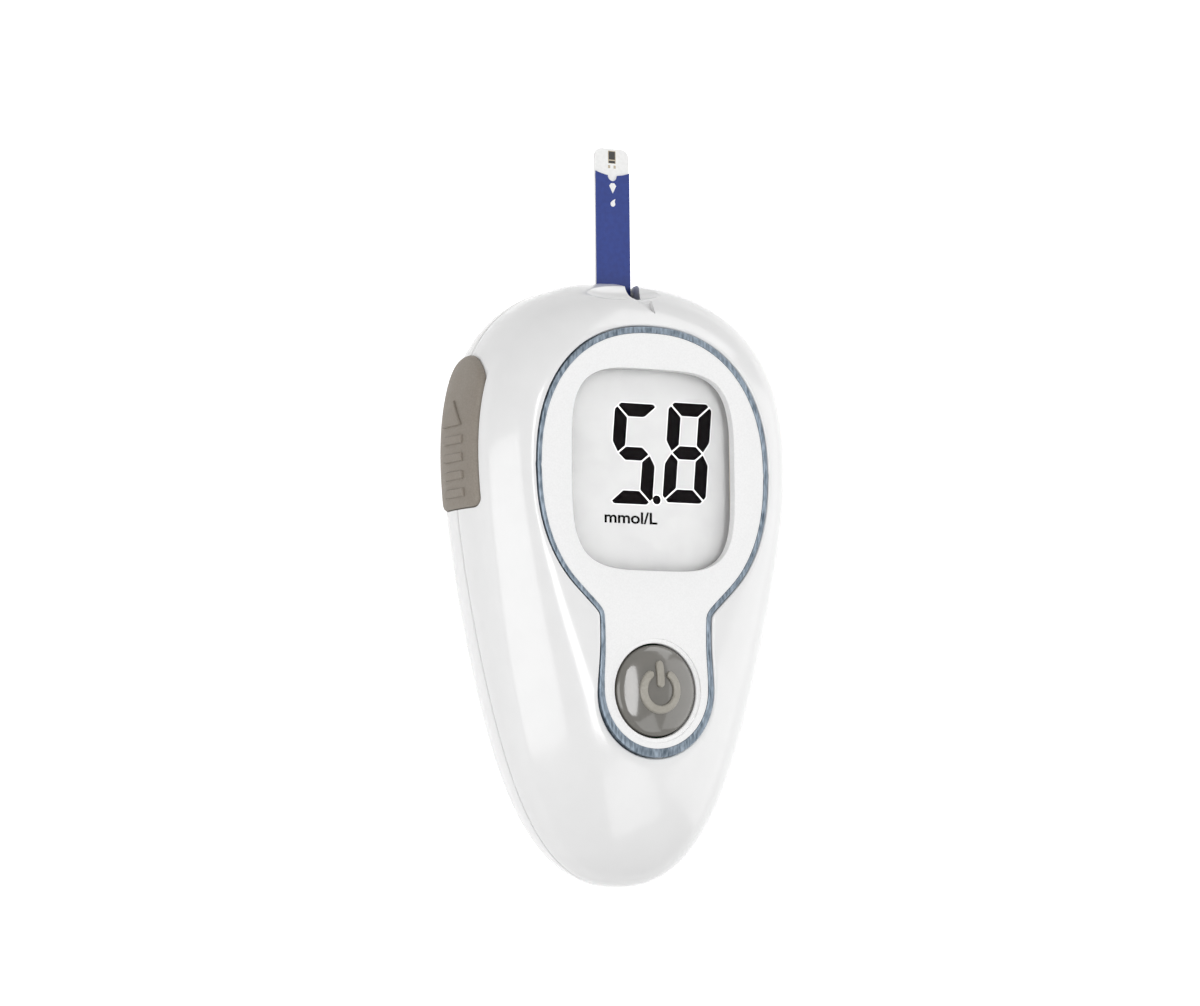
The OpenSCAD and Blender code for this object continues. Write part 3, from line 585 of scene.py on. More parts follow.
def arc(centre, radius, start, end, steps):
    """Points on a circle in a plane, by angle in degrees from the plane's first axis."""
    turns = [math.radians(start + (end - start) * i / steps) for i in range(steps + 1)]
    return [(centre[0] + radius * math.cos(t), centre[1] + radius * math.sin(t)) for t in turns]


def box_outline(x0, x1, y0, y1):
    return [(x0, y0), (x1, y0), (x1, y1), (x0, y1)]


def cutter(outline, axis, low, high):
    """A prism that is only there to be cut away."""
    bm = bmesh.new()
    prism(bm, outline, axis, low, high)
    return make_piece(bm, "cutter", abs_white)


def cut(piece, cutters):
    """Take cutter shapes out of a piece and keep the result as its mesh."""
    for shape in cutters:
        step = piece.modifiers.new("cut", "BOOLEAN")
        step.operation = "DIFFERENCE"
        step.solver = "EXACT"
        step.object = shape
    bpy.context.view_layer.update()
    done = bpy.data.meshes.new_from_object(piece.evaluated_get(bpy.context.evaluated_depsgraph_get()))
    piece.modifiers.clear()
    piece.data = done
    for shape in cutters:
        bpy.data.objects.remove(shape)
    soften(piece)
    print(piece.name, "after", len(cutters), "cuts:", len(done.polygons), "faces")


# %% Cutters that both shells share
PORT_Y, PORT_W, PORT_H = 27.8, 7.0, 9.0
SLOT_W, SLOT_LOW, SLOT_HIGH, SLOT_DEEP = 7.2, 12.65, 13.75, 8.0
SLIDE_Y0, SLIDE_Y1, SLIDE_W, SLIDE_TRAVEL = -6.4, 18.3, 11.8, 6.0
SLIDE_LOW_R, POCKET_DEEP = 1.5, 2.7
SLIDE_Z = SEAM + 0.4
SLIDE_FLOOR = POCKET_DEEP - WIDTH / 2


def slide_outline(grow, travel):
    """The thumb slide in Y and Z: a round upper end, which travel moves on, and small corners."""
    top_r, y = SLIDE_W / 2, SLIDE_Y0 + SLIDE_LOW_R
    z = top_r - SLIDE_LOW_R
    points = arc((SLIDE_Y1 - top_r + travel, SLIDE_Z), top_r + grow, 90, -90, 40)
    points += arc((y, SLIDE_Z - z), SLIDE_LOW_R + grow, -90, -180, 10)
    return points + arc((y, SLIDE_Z + z), SLIDE_LOW_R + grow, 180, 90, 10)


def shared_cutters():
    """The slide's pocket and the strip's slot."""
    slot = box_outline(-SLOT_W / 2, SLOT_W / 2, SLOT_LOW, SLOT_HIGH)
    return [cutter(slide_outline(FIT, SLIDE_TRAVEL), "X", -FAR, SLIDE_FLOOR),
            cutter(slot, "Y", PORT_Y - SLOT_DEEP, FAR)]


# %% The notch, the pointer and the scoop
PORT_STEPS, PORT_BEND = 10, 1.3
POINTER = [(-1.9, 1.1), (1.3, 1.2), (1.1, -1.7)]
POINTER_X, POINTER_Y, POINTER_DEEP, POINTER_TALL = 0.25, 26.9, 0.75, 3.0
SLOPE_STEP = 0.3
SCOOP_HALF, SCOOP_AT = (9.0, 2.8, 2.3), (-2.0, 30.2, 21.8)
SCOOP_TIP, SCOOP_TURN = -50, 6

flank = [(PORT_W / 2 * (1 - (i / PORT_STEPS) ** PORT_BEND), SEAM + PORT_H * i / PORT_STEPS)
         for i in range(PORT_STEPS + 1)]
foot = [(-PORT_W / 2, SEAM - 1), (PORT_W / 2, SEAM - 1)]
port = foot + flank + [(-x, z) for x, z in flank[-2::-1]]

pointer_z = front_height(Vector((0.0, POINTER_Y)))
rise = front_height(Vector((0.0, POINTER_Y + SLOPE_STEP))) - pointer_z
slope = math.atan2(rise, SLOPE_STEP)
bm = bmesh.new()
prism(bm, POINTER, "Z", -POINTER_DEEP, POINTER_TALL)
bmesh.ops.rotate(bm, verts=bm.verts, matrix=Matrix.Rotation(slope, 3, "X"))
bmesh.ops.translate(bm, verts=bm.verts, vec=(POINTER_X, POINTER_Y, pointer_z))
pointer = make_piece(bm, "cutter", abs_white)

bm = bmesh.new()
ball = bmesh.ops.create_uvsphere(bm, u_segments=72, v_segments=36, radius=1.0)["verts"]
bmesh.ops.scale(bm, vec=SCOOP_HALF, verts=ball)
bmesh.ops.rotate(bm, verts=ball, matrix=Matrix.Rotation(math.radians(SCOOP_TIP), 3, "X"))
bmesh.ops.rotate(bm, verts=ball, matrix=Matrix.Rotation(math.radians(SCOOP_TURN), 3, "Z"))
bmesh.ops.translate(bm, verts=ball, vec=SCOOP_AT)
scoop = make_piece(bm, "cutter", abs_white)
cut(front_casing, shared_cutters() + [scoop, cutter(port, "Y", PORT_Y, FAR), pointer])

# %% [markdown]
# ## Back shell
# The back half is the same egg turned down, deeper at its sides and flat where it lies. Only its
# outside, the lip and the battery bay can be seen, so the skin is lofted with a plain inside and
# the bay's walls are a piece of their own.

# %% Loft the back shell
BACK_LIP_IN = 1.1
BACK_RINGS, BACK_CROWDING = 26, 1.15
FLOOR_SHARES = (0.3, 0.02)
INSIDE_SHARES = (0.985, 0.93, 0.85, 0.74, 0.64) + FLOOR_SHARES


def drawn_in(points, share):
    """Draw an outline in towards the heel."""
    return [HEEL + (p - HEEL) * share for p in points]


back_rings = seam_rings(BACK_LIP_IN, SEAM - SEAM_GAP / 2, -1)
last_level = math.acos(superellipse(SEAM / BACK_DEEP, BACK_SOFT) ** (1 / BACK_SOFT))
for row in range(1, BACK_RINGS + 1):
    share = math.cos(last_level * (row / BACK_RINGS) ** BACK_CROWDING) ** BACK_SOFT
    z = max(0.0, SEAM - BACK_DEEP * superellipse(share, BACK_SOFT))
    back_rings.append(flat(drawn_in(rim, share), z))
back_rings += [flat(drawn_in(rim, share), 0.0) for share in FLOOR_SHARES]
inside_rings = [flat(inner_rim, SEAM - SEAM_GAP / 2)]
for share in INSIDE_SHARES:
    ring = drawn_in(inner_rim, share)
    inside_rings.append(flat(ring, [back_height(p, WALL) for p in ring]))
bm = bmesh.new()
cap(bm, loft(bm, inside_rings[::-1] + back_rings))
back_casing = make_piece(bm, "casing_back", abs_white, "casing")
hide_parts("back_shell")

# %% Cut the door opening, the screw wells and the slide's pocket
door_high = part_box("battery_door")[1] / MM
DOOR_HALF = door_high.x
DOOR_Y0, DOOR_Y1 = -49.8, door_high.y
DOOR_R, DOOR_GAP, DOOR_T, DOOR_SUNK = 2.5, 0.2, 1.8, 0.12
OPENING_TOP = 6.0
SCREWS = ((13.0, 23.0), (0.295 * WIDTH, -24.0))
WELL_R, WELL_TOP = 2.3, 9.0


def door_outline(grow, steps=8):
    """Rounded outline of the battery door, clockwise from its upper right corner."""
    x, y0, y1, r = DOOR_HALF - DOOR_R, DOOR_Y0 + DOOR_R, DOOR_Y1 - DOOR_R, DOOR_R + grow
    corners = [((x, y1), 90, 0), ((x, y0), 0, -90), ((-x, y0), -90, -180), ((-x, y1), 180, 90)]
    return [p for centre, a, b in corners for p in arc(centre, r, a, b, steps)]


def disc(centre, radius):
    """A circle of 24 points."""
    return arc(centre, radius, 0, 345, 23)


openings = [cutter(door_outline(DOOR_GAP), "Z", -FAR, OPENING_TOP)]
openings += [cutter(disc((x * side, y), WELL_R), "Z", -FAR, WELL_TOP)
             for x, y in SCREWS for side in (-1, 1)]
cut(back_casing, shared_cutters() + openings)

# %% [markdown]
# ## Metal ring and face plate
# The ring is stamped from sheet with a small bevel on both edges, and follows the keyhole. The
# plate has softened edges at the window and round the button, where a shallow moat catches a
# line of shade. Its top is one face with two holes, which a triangle fill makes from its edges.

# %% Ring
RING_PROUD, RING_BEVEL = 0.15, 0.16
RING_Z = PLATE_Z + RING_PROUD
MID_BEVEL = MIDWAY * RING_BEVEL
stations = [flat(key, LEDGE_Z), flat(key, RING_Z - RING_BEVEL),
            flat(shifted(key, key_out, -MID_BEVEL), RING_Z - MID_BEVEL),
            flat(shifted(key, key_out, -RING_BEVEL), RING_Z),
            flat(shifted(ring_in, key_out, RING_BEVEL), RING_Z),
            flat(shifted(ring_in, key_out, MID_BEVEL), RING_Z - MID_BEVEL),
            flat(ring_in, RING_Z - RING_BEVEL), flat(ring_in, LEDGE_Z)]
bm = bmesh.new()
loft(bm, stations, closed=True)
metal_ring = make_piece(bm, "trim_band", ring_metal, "casing")
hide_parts("trim_ring")

# %% Face plate
WINDOW_X, WINDOW_Y, WINDOW_ROUND = 30.5 / 2, 32.5 / 2, 0.5
WINDOW_POINTS, HOLE_POINTS = 144, 120
BUTTON_R = 14.6 / 2
HOLE_GAP, MOAT_W, MOAT_DEEP = 0.3, 0.7, 0.3
HOLE_R = BUTTON_R + HOLE_GAP
MOAT_R, MOAT_Z = HOLE_R + MOAT_W, PLATE_Z - MOAT_DEEP
PLATE_SOFT, PLATE_FIT = 0.12, 0.02
MID_SOFT = MIDWAY * PLATE_SOFT


def turns_of(count):
    """Cosine and sine of each step of a full turn, clockwise."""
    turns = [-2 * math.pi * i / count for i in range(count)]
    return [(math.cos(t), math.sin(t)) for t in turns]


def window_outline(grow):
    """A square with bulging sides and round corners."""
    def bulged(half, turn):
        return math.copysign((half + grow) * abs(turn) ** WINDOW_ROUND, turn)
    return [Vector((bulged(WINDOW_X, c), bulged(WINDOW_Y, s))) for c, s in turns_of(WINDOW_POINTS)]


def circle_outline(radius):
    return [Vector((radius * c, BUTTON_Y + radius * s)) for c, s in turns_of(HOLE_POINTS)]


plate_rim = shifted(ring_in, key_out, -PLATE_FIT)
window_rows = [(PLATE_SOFT, PLATE_Z), (MID_SOFT, PLATE_Z - MID_SOFT), (0.0, PLATE_Z - PLATE_SOFT),
               (0.0, LEDGE_Z)]
hole_rows = [(MOAT_R + PLATE_SOFT, PLATE_Z), (MOAT_R + MID_SOFT, PLATE_Z - MID_SOFT),
             (MOAT_R, MOAT_Z), (HOLE_R + PLATE_SOFT, MOAT_Z), (HOLE_R, MOAT_Z - PLATE_SOFT),
             (HOLE_R, LEDGE_Z)]
bm = bmesh.new()
outer, bottom = loft(bm, [flat(plate_rim, PLATE_Z), flat(plate_rim, LEDGE_Z)])
window_top, window_low = loft(bm, [flat(window_outline(grow), z) for grow, z in window_rows])
moat_top, hole_low = loft(bm, [flat(circle_outline(radius), z) for radius, z in hole_rows])
for loops in ((outer, window_top, moat_top), (bottom, window_low, hole_low)):
    edges = [edge for ring in loops for edge in edges_of(bm, ring)]
    bmesh.ops.triangle_fill(bm, edges=edges, use_beauty=True)
plate = make_piece(bm, "face_panel", satin_white, "casing")
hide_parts("face_plate")

# %% [markdown]
# ## Push button
# The button is turned: a stem, a skirt, a rounded rim and a shallow dome. A bevelled cylinder
# would have no dome, so one profile is spun round the axis instead. The standby mark is moulded
# with it: its ring and its bar are lofted strokes whose flat tops follow the dome.

# %% Dome
DOME, RIM_SUNK = 1.3, 0.15
RIM_Z = PLATE_Z - RIM_SUNK
BALL_R = (BUTTON_R ** 2 + DOME ** 2) / (2 * DOME)
STEM_R, CAP_T, SKIRT_T, SKIRT_LOW = 1.5, 1.6, 1.3, 21.3
CAP_EDGE, CAP_LIFT = 0.45, 0.05
DOME_RADII = (BUTTON_R - CAP_EDGE - 0.1, 6.2, 5.4, 4.6, 3.8, 3.0, 2.2, 1.4, 0.7, 0.0)
CAP_STEPS = 120
button_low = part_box("main_button")[0].z / MM


def dome_z(r):
    """Height of the button's dome at a distance from its axis."""
    return RIM_Z + DOME - BALL_R + math.sqrt(BALL_R ** 2 - min(r, BUTTON_R) ** 2)


profile = [(0.0, button_low), (STEM_R, button_low), (STEM_R, RIM_Z - CAP_T),
           (BUTTON_R - SKIRT_T, RIM_Z - CAP_T), (BUTTON_R - SKIRT_T, SKIRT_LOW),
           (BUTTON_R, SKIRT_LOW), (BUTTON_R, RIM_Z - CAP_EDGE)]
for turn in (math.radians(t) for t in (22, 45, 68)):
    profile.append((BUTTON_R - CAP_EDGE * (1 - math.cos(turn)),
                    RIM_Z - CAP_EDGE + (CAP_EDGE + CAP_LIFT) * math.sin(turn)))
profile += [(r, dome_z(r)) for r in DOME_RADII]

bm = bmesh.new()
line = [bm.verts.new((0.0, BUTTON_Y + r, z)) for r, z in profile]
edges = [bm.edges.new(pair) for pair in zip(line, line[1:])]
bmesh.ops.spin(bm, geom=line + edges, cent=(0, BUTTON_Y, 0), axis=(0, 0, -1), angle=2 * math.pi,
               steps=CAP_STEPS, use_merge=True)
button = make_piece(bm, "button_cap", abs_taupe_gloss, "button", smooth_angle=50)
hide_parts("main_button")

# %% Standby mark
MARK_R, MARK_HALF, MARK_HIGH, MARK_ROOT = 3.1, 0.64, 0.5, -0.2
MARK_SOFT, SOFT_SHARE = 0.18, 0.9
ARC_START, ARC_SWEEP, ARC_STEPS = 52, 284, 64
BAR_LOW, BAR_STEP, BAR_POINTS = 1.1, 0.25, 13
END_STEPS = (0.99, 0.93, 0.8, 0.6, 0.35)


def raised(half, high, soft, root):
    """Section of a raised line: up one side, round to a flat top and down the other side."""
    top = half - soft
    return [(-half, root), (-half, high - soft), (-top, high), (top, high), (half, high - soft),
            (half, root)]


def stroke(bm, along, sideways):
    """A raised flat-topped line through the points, with round ends; sideways gives its width."""
    start, end = (along[1] - along[0]).normalized(), (along[-1] - along[-2]).normalized()
    rounding = [(math.sqrt(max(0.0, 1 - t * t)), t) for t in END_STEPS]
    steps = [(share, along[0] - t * MARK_HALF * start, sideways[0]) for share, t in rounding]
    steps += [(1.0, p, side) for p, side in zip(along, sideways)]
    steps += [(share, along[-1] + t * MARK_HALF * end, sideways[-1]) for share, t in rounding[::-1]]
    stations = []
    for share, p, side in steps:
        half = MARK_HALF * share
        section = raised(half, MARK_HIGH, min(MARK_SOFT, half * SOFT_SHARE), MARK_ROOT)
        places = [(p + side * offset, h) for offset, h in section]
        stations.append([(q.x, BUTTON_Y + q.y, dome_z(q.length) + h) for q, h in places])
    cap(bm, loft(bm, stations))


bm = bmesh.new()
turns = [math.radians(ARC_START - ARC_SWEEP * i / ARC_STEPS) for i in range(ARC_STEPS + 1)]
ways = [Vector((math.cos(t), math.sin(t))) for t in turns]
stroke(bm, [MARK_R * way for way in ways], ways)
bar = [Vector((0.0, BAR_LOW + BAR_STEP * i)) for i in range(BAR_POINTS)]
stroke(bm, bar, [Vector((1.0, 0.0))] * BAR_POINTS)
# The mark's lighter colour is painted light, not a colour of its own.
make_piece(bm, "button_mark", taupe_mark_painted_lighter, "button", smooth_angle=25)

# %% [markdown]
# ## Thumb slide
# The slide is a pad that follows the casing's flank and stands a little proud of it. It is lofted
# from its outline inwards to its spine, so the round over the edge and the long curve of the
# flank come from one set of rings. The grips are lofted on that same surface, so they bend with
# it: four bars across the pad, and an arrow head that points the way it pushes.

# %% The flank that the slide follows
PROUD, SHIFT, INNER_GAP, FLOOR_SINK = 0.6, 0.8, 0.3, 0.15
SIDE_SOFT = FRONT_SOFT + 0.005
DOUBLED = 0.01


def flank_x(y, z, grow=0.0):
    """Half width of the casing at a height, grown outwards."""
    if z > SEAM:
        deep, softness, centre = (z - SEAM) / (FRONT_HIGH + grow), SIDE_SOFT, CROWN.y
    else:
        deep, softness, centre = (SEAM - z) / (BACK_DEEP + grow), BACK_SOFT, HEEL.y
    share = superellipse(deep, softness)
    return share * (rim_half(centre + (y - centre) / share) + grow)


def slide_x(y, z, lift=0.0):
    """The pad's outer surface, or a lift above it."""
    return -flank_x(y - SHIFT, z, PROUD + lift)


def inner_x(y, z):
    """The pad's inner side: on the pocket's floor, or just over the flank where that is higher."""
    return max(SLIDE_FLOOR - FLOOR_SINK, -flank_x(y, z, INNER_GAP))


def filled(outline, spacing):
    """Add points along an outline's long sides, and leave out doubled ones."""
    points, dense = [Vector(p) for p in outline], []
    for p, q in zip(points, points[1:] + points[:1]):
        parts = max(1, round((q - p).length / spacing))
        dense += [p.lerp(q, j / parts) for j in range(parts)]
    return [p for i, p in enumerate(dense) if (p - dense[i - 1]).length > DOUBLED]


# %% Slide
ROUND, ROUND_END = 0.5, 1.05
SPINE_LOW = 4.5
SPINE_SHARES = (0.0, 0.12, 0.28, 0.46, 0.64, 0.82, 1.0)
LUG_SIZE, LUG_IN, LUG_Y = (3.6, 8.0, 2.4), 0.8, 5.0

outline = filled(slide_outline(0.0, 0.0), 0.45)
ways = normals(outline)
rings = [[(inner_x(*p), *p) for p in outline]]
for turn in (math.radians(t) for t in (0, 20, 40, 60, 80)):
    ring = shifted(outline, ways, -ROUND * (1 - math.cos(turn)))
    drop = ROUND * (1 - math.sin(turn))
    rings.append([(min(inner_x(*q), slide_x(*p) + drop), *p) for p, q in zip(ring, outline)])
base = shifted(outline, ways, -ROUND * ROUND_END)
spine_y0, spine_y1 = SLIDE_Y0 + SPINE_LOW, SLIDE_Y1 - SLIDE_W / 2
spine = [Vector((max(spine_y0, min(spine_y1, p.x)), SLIDE_Z)) for p in outline]
for t in SPINE_SHARES:
    rings.append([(slide_x(*p.lerp(s, t)), *p.lerp(s, t)) for p, s in zip(base, spine)])
bm = bmesh.new()
cap(bm, loft(bm, rings)[:1])
# The lug reaches through the casing to the carriage that pushes the strip.
lug = bmesh.ops.create_cube(bm, size=1.0)["verts"]
bmesh.ops.scale(bm, vec=LUG_SIZE, verts=lug)
bmesh.ops.translate(bm, vec=(SLIDE_FLOOR + LUG_IN, LUG_Y, SEAM), verts=lug)
slide = make_piece(bm, "slide_pad", soft_taupe, "ejector", smooth_angle=50)
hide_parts("ejector_slider")

# %% Grip bars and arrow
GRIP_HIGH, GRIP_SOFT, GRIP_ROOT, GRIP_HALF = 0.38, 0.13, -0.3, 0.66
GRIP_PLACES = (4.5, 1.65, -1.2, -4.0)
GRIP_Z0, GRIP_LONG, GRIP_STEPS, GRIP_END = 11.0, 5.4, 12, 0.1
ARROW = [Vector((10.9, 13.3)), Vector((6.7, 10.3)), Vector((6.8, 16.2))]
ARROW_SHARES = (0.1, 0.3, 0.55, 0.8, 0.97)


def on_slide(y, z, lift):
    """A place a lift above the pad's surface."""
    return (slide_x(y, z, lift), y, z)


section = raised(GRIP_HALF, GRIP_HIGH, GRIP_SOFT, GRIP_ROOT)


def bar_ring(y, z, drop):
    """A bar's section at one height of the pad; the drop lowers its top and leaves its root."""
    return [on_slide(y + dy, z, lift + drop if lift > 0 else lift) for dy, lift in section]


bm = bmesh.new()
steps = [(GRIP_Z0 - GRIP_END, -GRIP_SOFT)]
steps += [(GRIP_Z0 + GRIP_LONG * i / GRIP_STEPS, 0.0) for i in range(GRIP_STEPS + 1)]
steps += [(GRIP_Z0 + GRIP_LONG + GRIP_END, -GRIP_SOFT)]
for y in GRIP_PLACES:
    cap(bm, loft(bm, [bar_ring(y, z, drop) for z, drop in steps]))
sides = zip(ARROW, ARROW[1:] + ARROW[:1])
dense = [a.lerp(b, i / 10) for a, b in sides for i in range(10)]
middle = sum(ARROW, Vector((0, 0))) / 3
rings = [[on_slide(*p, lift) for p in dense] for lift in (GRIP_ROOT, GRIP_HIGH - GRIP_SOFT)]
for share in ARROW_SHARES:
    rings.append([on_slide(*p.lerp(middle, share), GRIP_HIGH) for p in dense])
cap(bm, loft(bm, rings))
make_piece(bm, "slide_grips", soft_taupe, "ejector", smooth_angle=30)

# %% [markdown]
# ## Display
# A segment display draws each numeral with seven bars, mitred where they meet and parted by thin
# clear gaps. Each bar is the outline between an outer and an inner box of the numeral, so the
# mitres come out right for any thickness, and the whole numeral is then slanted. A pale copy that
# is a little larger lies under the bars and draws the clear border.

# %% Bars of a numeral
PANEL_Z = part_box("lcd_panel")[1].z / MM
SLANT = 0.0925
DIGIT_W, DIGIT_H = 8.5, 16.6
BAR_W, BAR_H = 2.7, 2.45
CHAMFER, SIDE_TIP, MIDDLE_TIP = 1.15, 1.6, 0.45
SHARPEST = -0.6


def numeral_bars():
    """The seven bars of a numeral round its centre, as upright outlines."""
    x, y, c = DIGIT_W / 2, DIGIT_H / 2, CHAMFER
    u, v, h = x - BAR_W, y - BAR_H, BAR_H / 2
    tip = x - BAR_W * MIDDLE_TIP
    top = [(-x + c, y), (x - c, y), (x - c / 2, y - c / 2), (u, v), (-u, v), (-x + c / 2, y - c / 2)]
    side = [(x, y - c), (x, c * SIDE_TIP), (tip, 0), (u, h), (u, v), (x - c / 2, y - c / 2)]
    middle = [(-tip, 0), (-u, h), (u, h), (tip, 0), (u, -h), (-u, -h)]
    return {"top": top, "bottom": [(px, -py) for px, py in top], "middle": middle,
            "right_high": side, "right_low": [(px, -py) for px, py in side],
            "left_high": [(-px, py) for px, py in side], "left_low": [(-px, -py) for px, py in side]}


def shrunk(shape, gap):
    """Move every side of a convex outline inwards; a negative gap moves it outwards."""
    points = [Vector(p) for p in shape]
    turning = sum(a.cross(b) for a, b in zip(points, points[1:] + points[:1]))
    count, moved = len(points), []
    for i, point in enumerate(points):
        before = (point - points[i - 1]).normalized()
        after = (points[(i + 1) % count] - point).normalized()
        inwards = [Vector((-w.y, w.x)) * math.copysign(gap, turning) for w in (before, after)]
        corner = 1 + max(SHARPEST, before.dot(after))
        moved.append(point + (inwards[0] + inwards[1]) / corner)
    return moved


# %% Numerals
bars = numeral_bars()
FIVE = ("top", "left_high", "middle", "right_low", "bottom")
EIGHT = tuple(bars)
NUMERALS = [(FIVE, Vector((-2.05, 2.8))), (EIGHT, Vector((8.08, 3.35)))]
DOT, DOT_R = Vector((2.2, -4.5)), 0.88
BORDER, HALF_GAP = -0.03, 0.12
# The pale film lies on the panel, and the black one just clear of it.
for name, gap, low, high, material in (("display_borders", BORDER, 0.0, 0.01, segment_edge),
                                       ("display_segments", HALF_GAP, 0.012, 0.024, segment_black)):
    low, high = PANEL_Z + low, PANEL_Z + high
    bm = bmesh.new()
    for lit, centre in NUMERALS:
        for bar in lit:
            shape = [centre + p for p in shrunk(bars[bar], gap)]
            prism(bm, [(p.x + SLANT * (p.y - centre.y), p.y) for p in shape], "Z", low, high)
    prism(bm, disc(DOT, DOT_R - gap), "Z", low, high)
    make_piece(bm, name, material, "casing", smooth_angle=20)

# %% Unit of measurement
UNIT_SIZE, UNIT_BOLD, UNIT_W = 2.6, 0.06, 9.9
UNIT_X, UNIT_Y, UNIT_LIFT = -7.75, -8.45, 0.02
words = bpy.data.curves.new("unit", "FONT")
words.body = "mmol/L"
words.size = UNIT_SIZE
words.offset = UNIT_BOLD
writing = bpy.data.objects.new("unit", words)
bpy.context.scene.collection.objects.link(writing)
bpy.context.view_layer.update()
mesh = bpy.data.meshes.new_from_object(writing.evaluated_get(bpy.context.evaluated_depsgraph_get()))
bpy.data.objects.remove(writing)
bm = bmesh.new()
bm.from_mesh(mesh)
across = [v.co.x for v in bm.verts]
fit = Matrix.Diagonal((UNIT_W / (max(across) - min(across)), 1.0, 1.0))
bmesh.ops.transform(bm, matrix=fit.to_4x4(), verts=bm.verts)
bmesh.ops.translate(bm, vec=(UNIT_X, UNIT_Y, PANEL_Z + UNIT_LIFT), verts=bm.verts)
make_piece(bm, "display_unit", segment_black, "casing", smooth_angle=20)

# %% [markdown]
# ## Test strip
# The strip's printed marks are thin films of ink: the sensing bars at the tip, on the white
# carrier, and the arrow and the drop on the blue cover that tell the user where the blood goes.
# An image would blur close up and need a file, so each mark is a prism as thick as its ink.

# %% Marks on the strip
strip_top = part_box("strip_base")[1] / MM
film_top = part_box("strip_cover")[1] / MM
TIP_Y = strip_top.y
FRAME_HALF, TICK_IN, BARS_HALF = 0.72, 0.32, 0.6
INK_T, COVER_INK_T = 0.012, 0.015


def printed(name, ink, outlines, z, thick):
    """Lay flat outlines of ink on one of the strip's films."""
    bm = bmesh.new()
    for outline in outlines:
        prism(bm, outline, "Z", z, z + thick)
    make_piece(bm, name, ink, "test_strip")


# Places are measured back from the strip's tip.
frame_marks = [box_outline(-FRAME_HALF, FRAME_HALF, TIP_Y - 2.45, TIP_Y - 0.35),
               box_outline(-FRAME_HALF, -TICK_IN, TIP_Y - 3.25, TIP_Y - 2.75),
               box_outline(TICK_IN, FRAME_HALF, TIP_Y - 3.25, TIP_Y - 2.75)]
bar_marks = [box_outline(-BARS_HALF, BARS_HALF, TIP_Y - 1.8, TIP_Y - 0.45),
             box_outline(-BARS_HALF, BARS_HALF, TIP_Y - 2.4, TIP_Y - 2.0)]
arrow = [(0.0, TIP_Y - 7.45), (0.66, TIP_Y - 6.2), (0.3, TIP_Y - 5.75), (-0.3, TIP_Y - 5.75),
         (-0.66, TIP_Y - 6.2)]
drop = arc((0.0, TIP_Y - 9.2), 0.45, 140, 390, 14)
drop += [(0.36, TIP_Y - 8.7), (0.5, TIP_Y - 8.35), (0.05, TIP_Y - 8.55)]
printed("strip_frame", ink_tan, frame_marks, strip_top.z, INK_T)
# The black bars lie on the tan frame, so they stand twice as high.
printed("strip_bars", ink_black, bar_marks, strip_top.z, 2 * INK_T)
printed("strip_marks", film_white, [arrow, drop], film_top.z, COVER_INK_T)

# %% [markdown]
# ## Battery door and bay
# The door is a curved panel cut from the back of the casing, with a thin gap round it and grip
# grooves near its upper edge. It is lofted from its middle to its rim and back, on the casing's
# own form, so it runs on in the back's curve. A rib stiffens it, and its single hook holds it at
# the foot.

# %% Door
DOOR_END = 11.0
# Rows of the door as a share of the way to its middle line and a lift: the inside from the
# middle out, the softened edge, and the skin back to the middle.
DOOR_ROWS = [(t, DOOR_SUNK + DOOR_T) for t in (1.0, 0.7, 0.4, 0.15, 0.0)]
DOOR_ROWS += [(0.0, DOOR_SUNK + 0.2), (0.008, DOOR_SUNK + 0.05), (0.02, DOOR_SUNK)]
DOOR_ROWS += [(t, DOOR_SUNK) for t in (0.1, 0.2, 0.35, 0.5, 0.7, 0.85, 1.0)]
# Each of these is a half width, two places along the meter and two heights.
RIB = (0.6, DOOR_Y0 + 3, DOOR_Y1 - 3, 1.7, 3.3)
SHANK = (1.2, DOOR_Y0 + 0.1, DOOR_Y0 + 1.6, 1.8, 4.4)
HOOK = (1.2, DOOR_Y0 - 1.0, DOOR_Y0 + 0.2, 3.5, 4.4)
GROOVES, GROOVE_STEP, GROOVE_FROM, GROOVE_HALF = 4, 1.8, 4.0, 5.5
GROOVE_R, GROOVE_DEEP, GROOVE_SHORTER = 0.4, 0.5, 1.0

outline = filled(door_outline(0.0, steps=12), 1.0)
spine = [Vector((0.0, max(DOOR_Y0 + DOOR_END, min(DOOR_Y1 - DOOR_END, p.y)))) for p in outline]


def door_ring(share, lift):
    """One ring of the door, drawn in towards its middle line, a lift above the casing's skin."""
    ring = [p.lerp(s, share) for p, s in zip(outline, spine)]
    return flat(ring, [back_height(p) + lift for p in ring])


bm = bmesh.new()
loft(bm, [door_ring(share, lift) for share, lift in DOOR_ROWS])
for half, y0, y1, z0, z1 in (RIB, SHANK, HOOK):
    prism(bm, box_outline(-half, half, y0, y1), "Z", z0, z1)
door = make_piece(bm, "door_panel", abs_white, "door")
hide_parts("battery_door")
grooves = []
for i in range(GROOVES):
    half, y = GROOVE_HALF - GROOVE_SHORTER * i, DOOR_Y1 - GROOVE_FROM - GROOVE_STEP * i
    ends = arc((half, y), GROOVE_R, 90, -90, 6) + arc((-half, y), GROOVE_R, 270, 90, 6)
    grooves.append(cutter(ends, "Z", BELOW, DOOR_SUNK + GROOVE_DEEP))
cut(door, grooves)

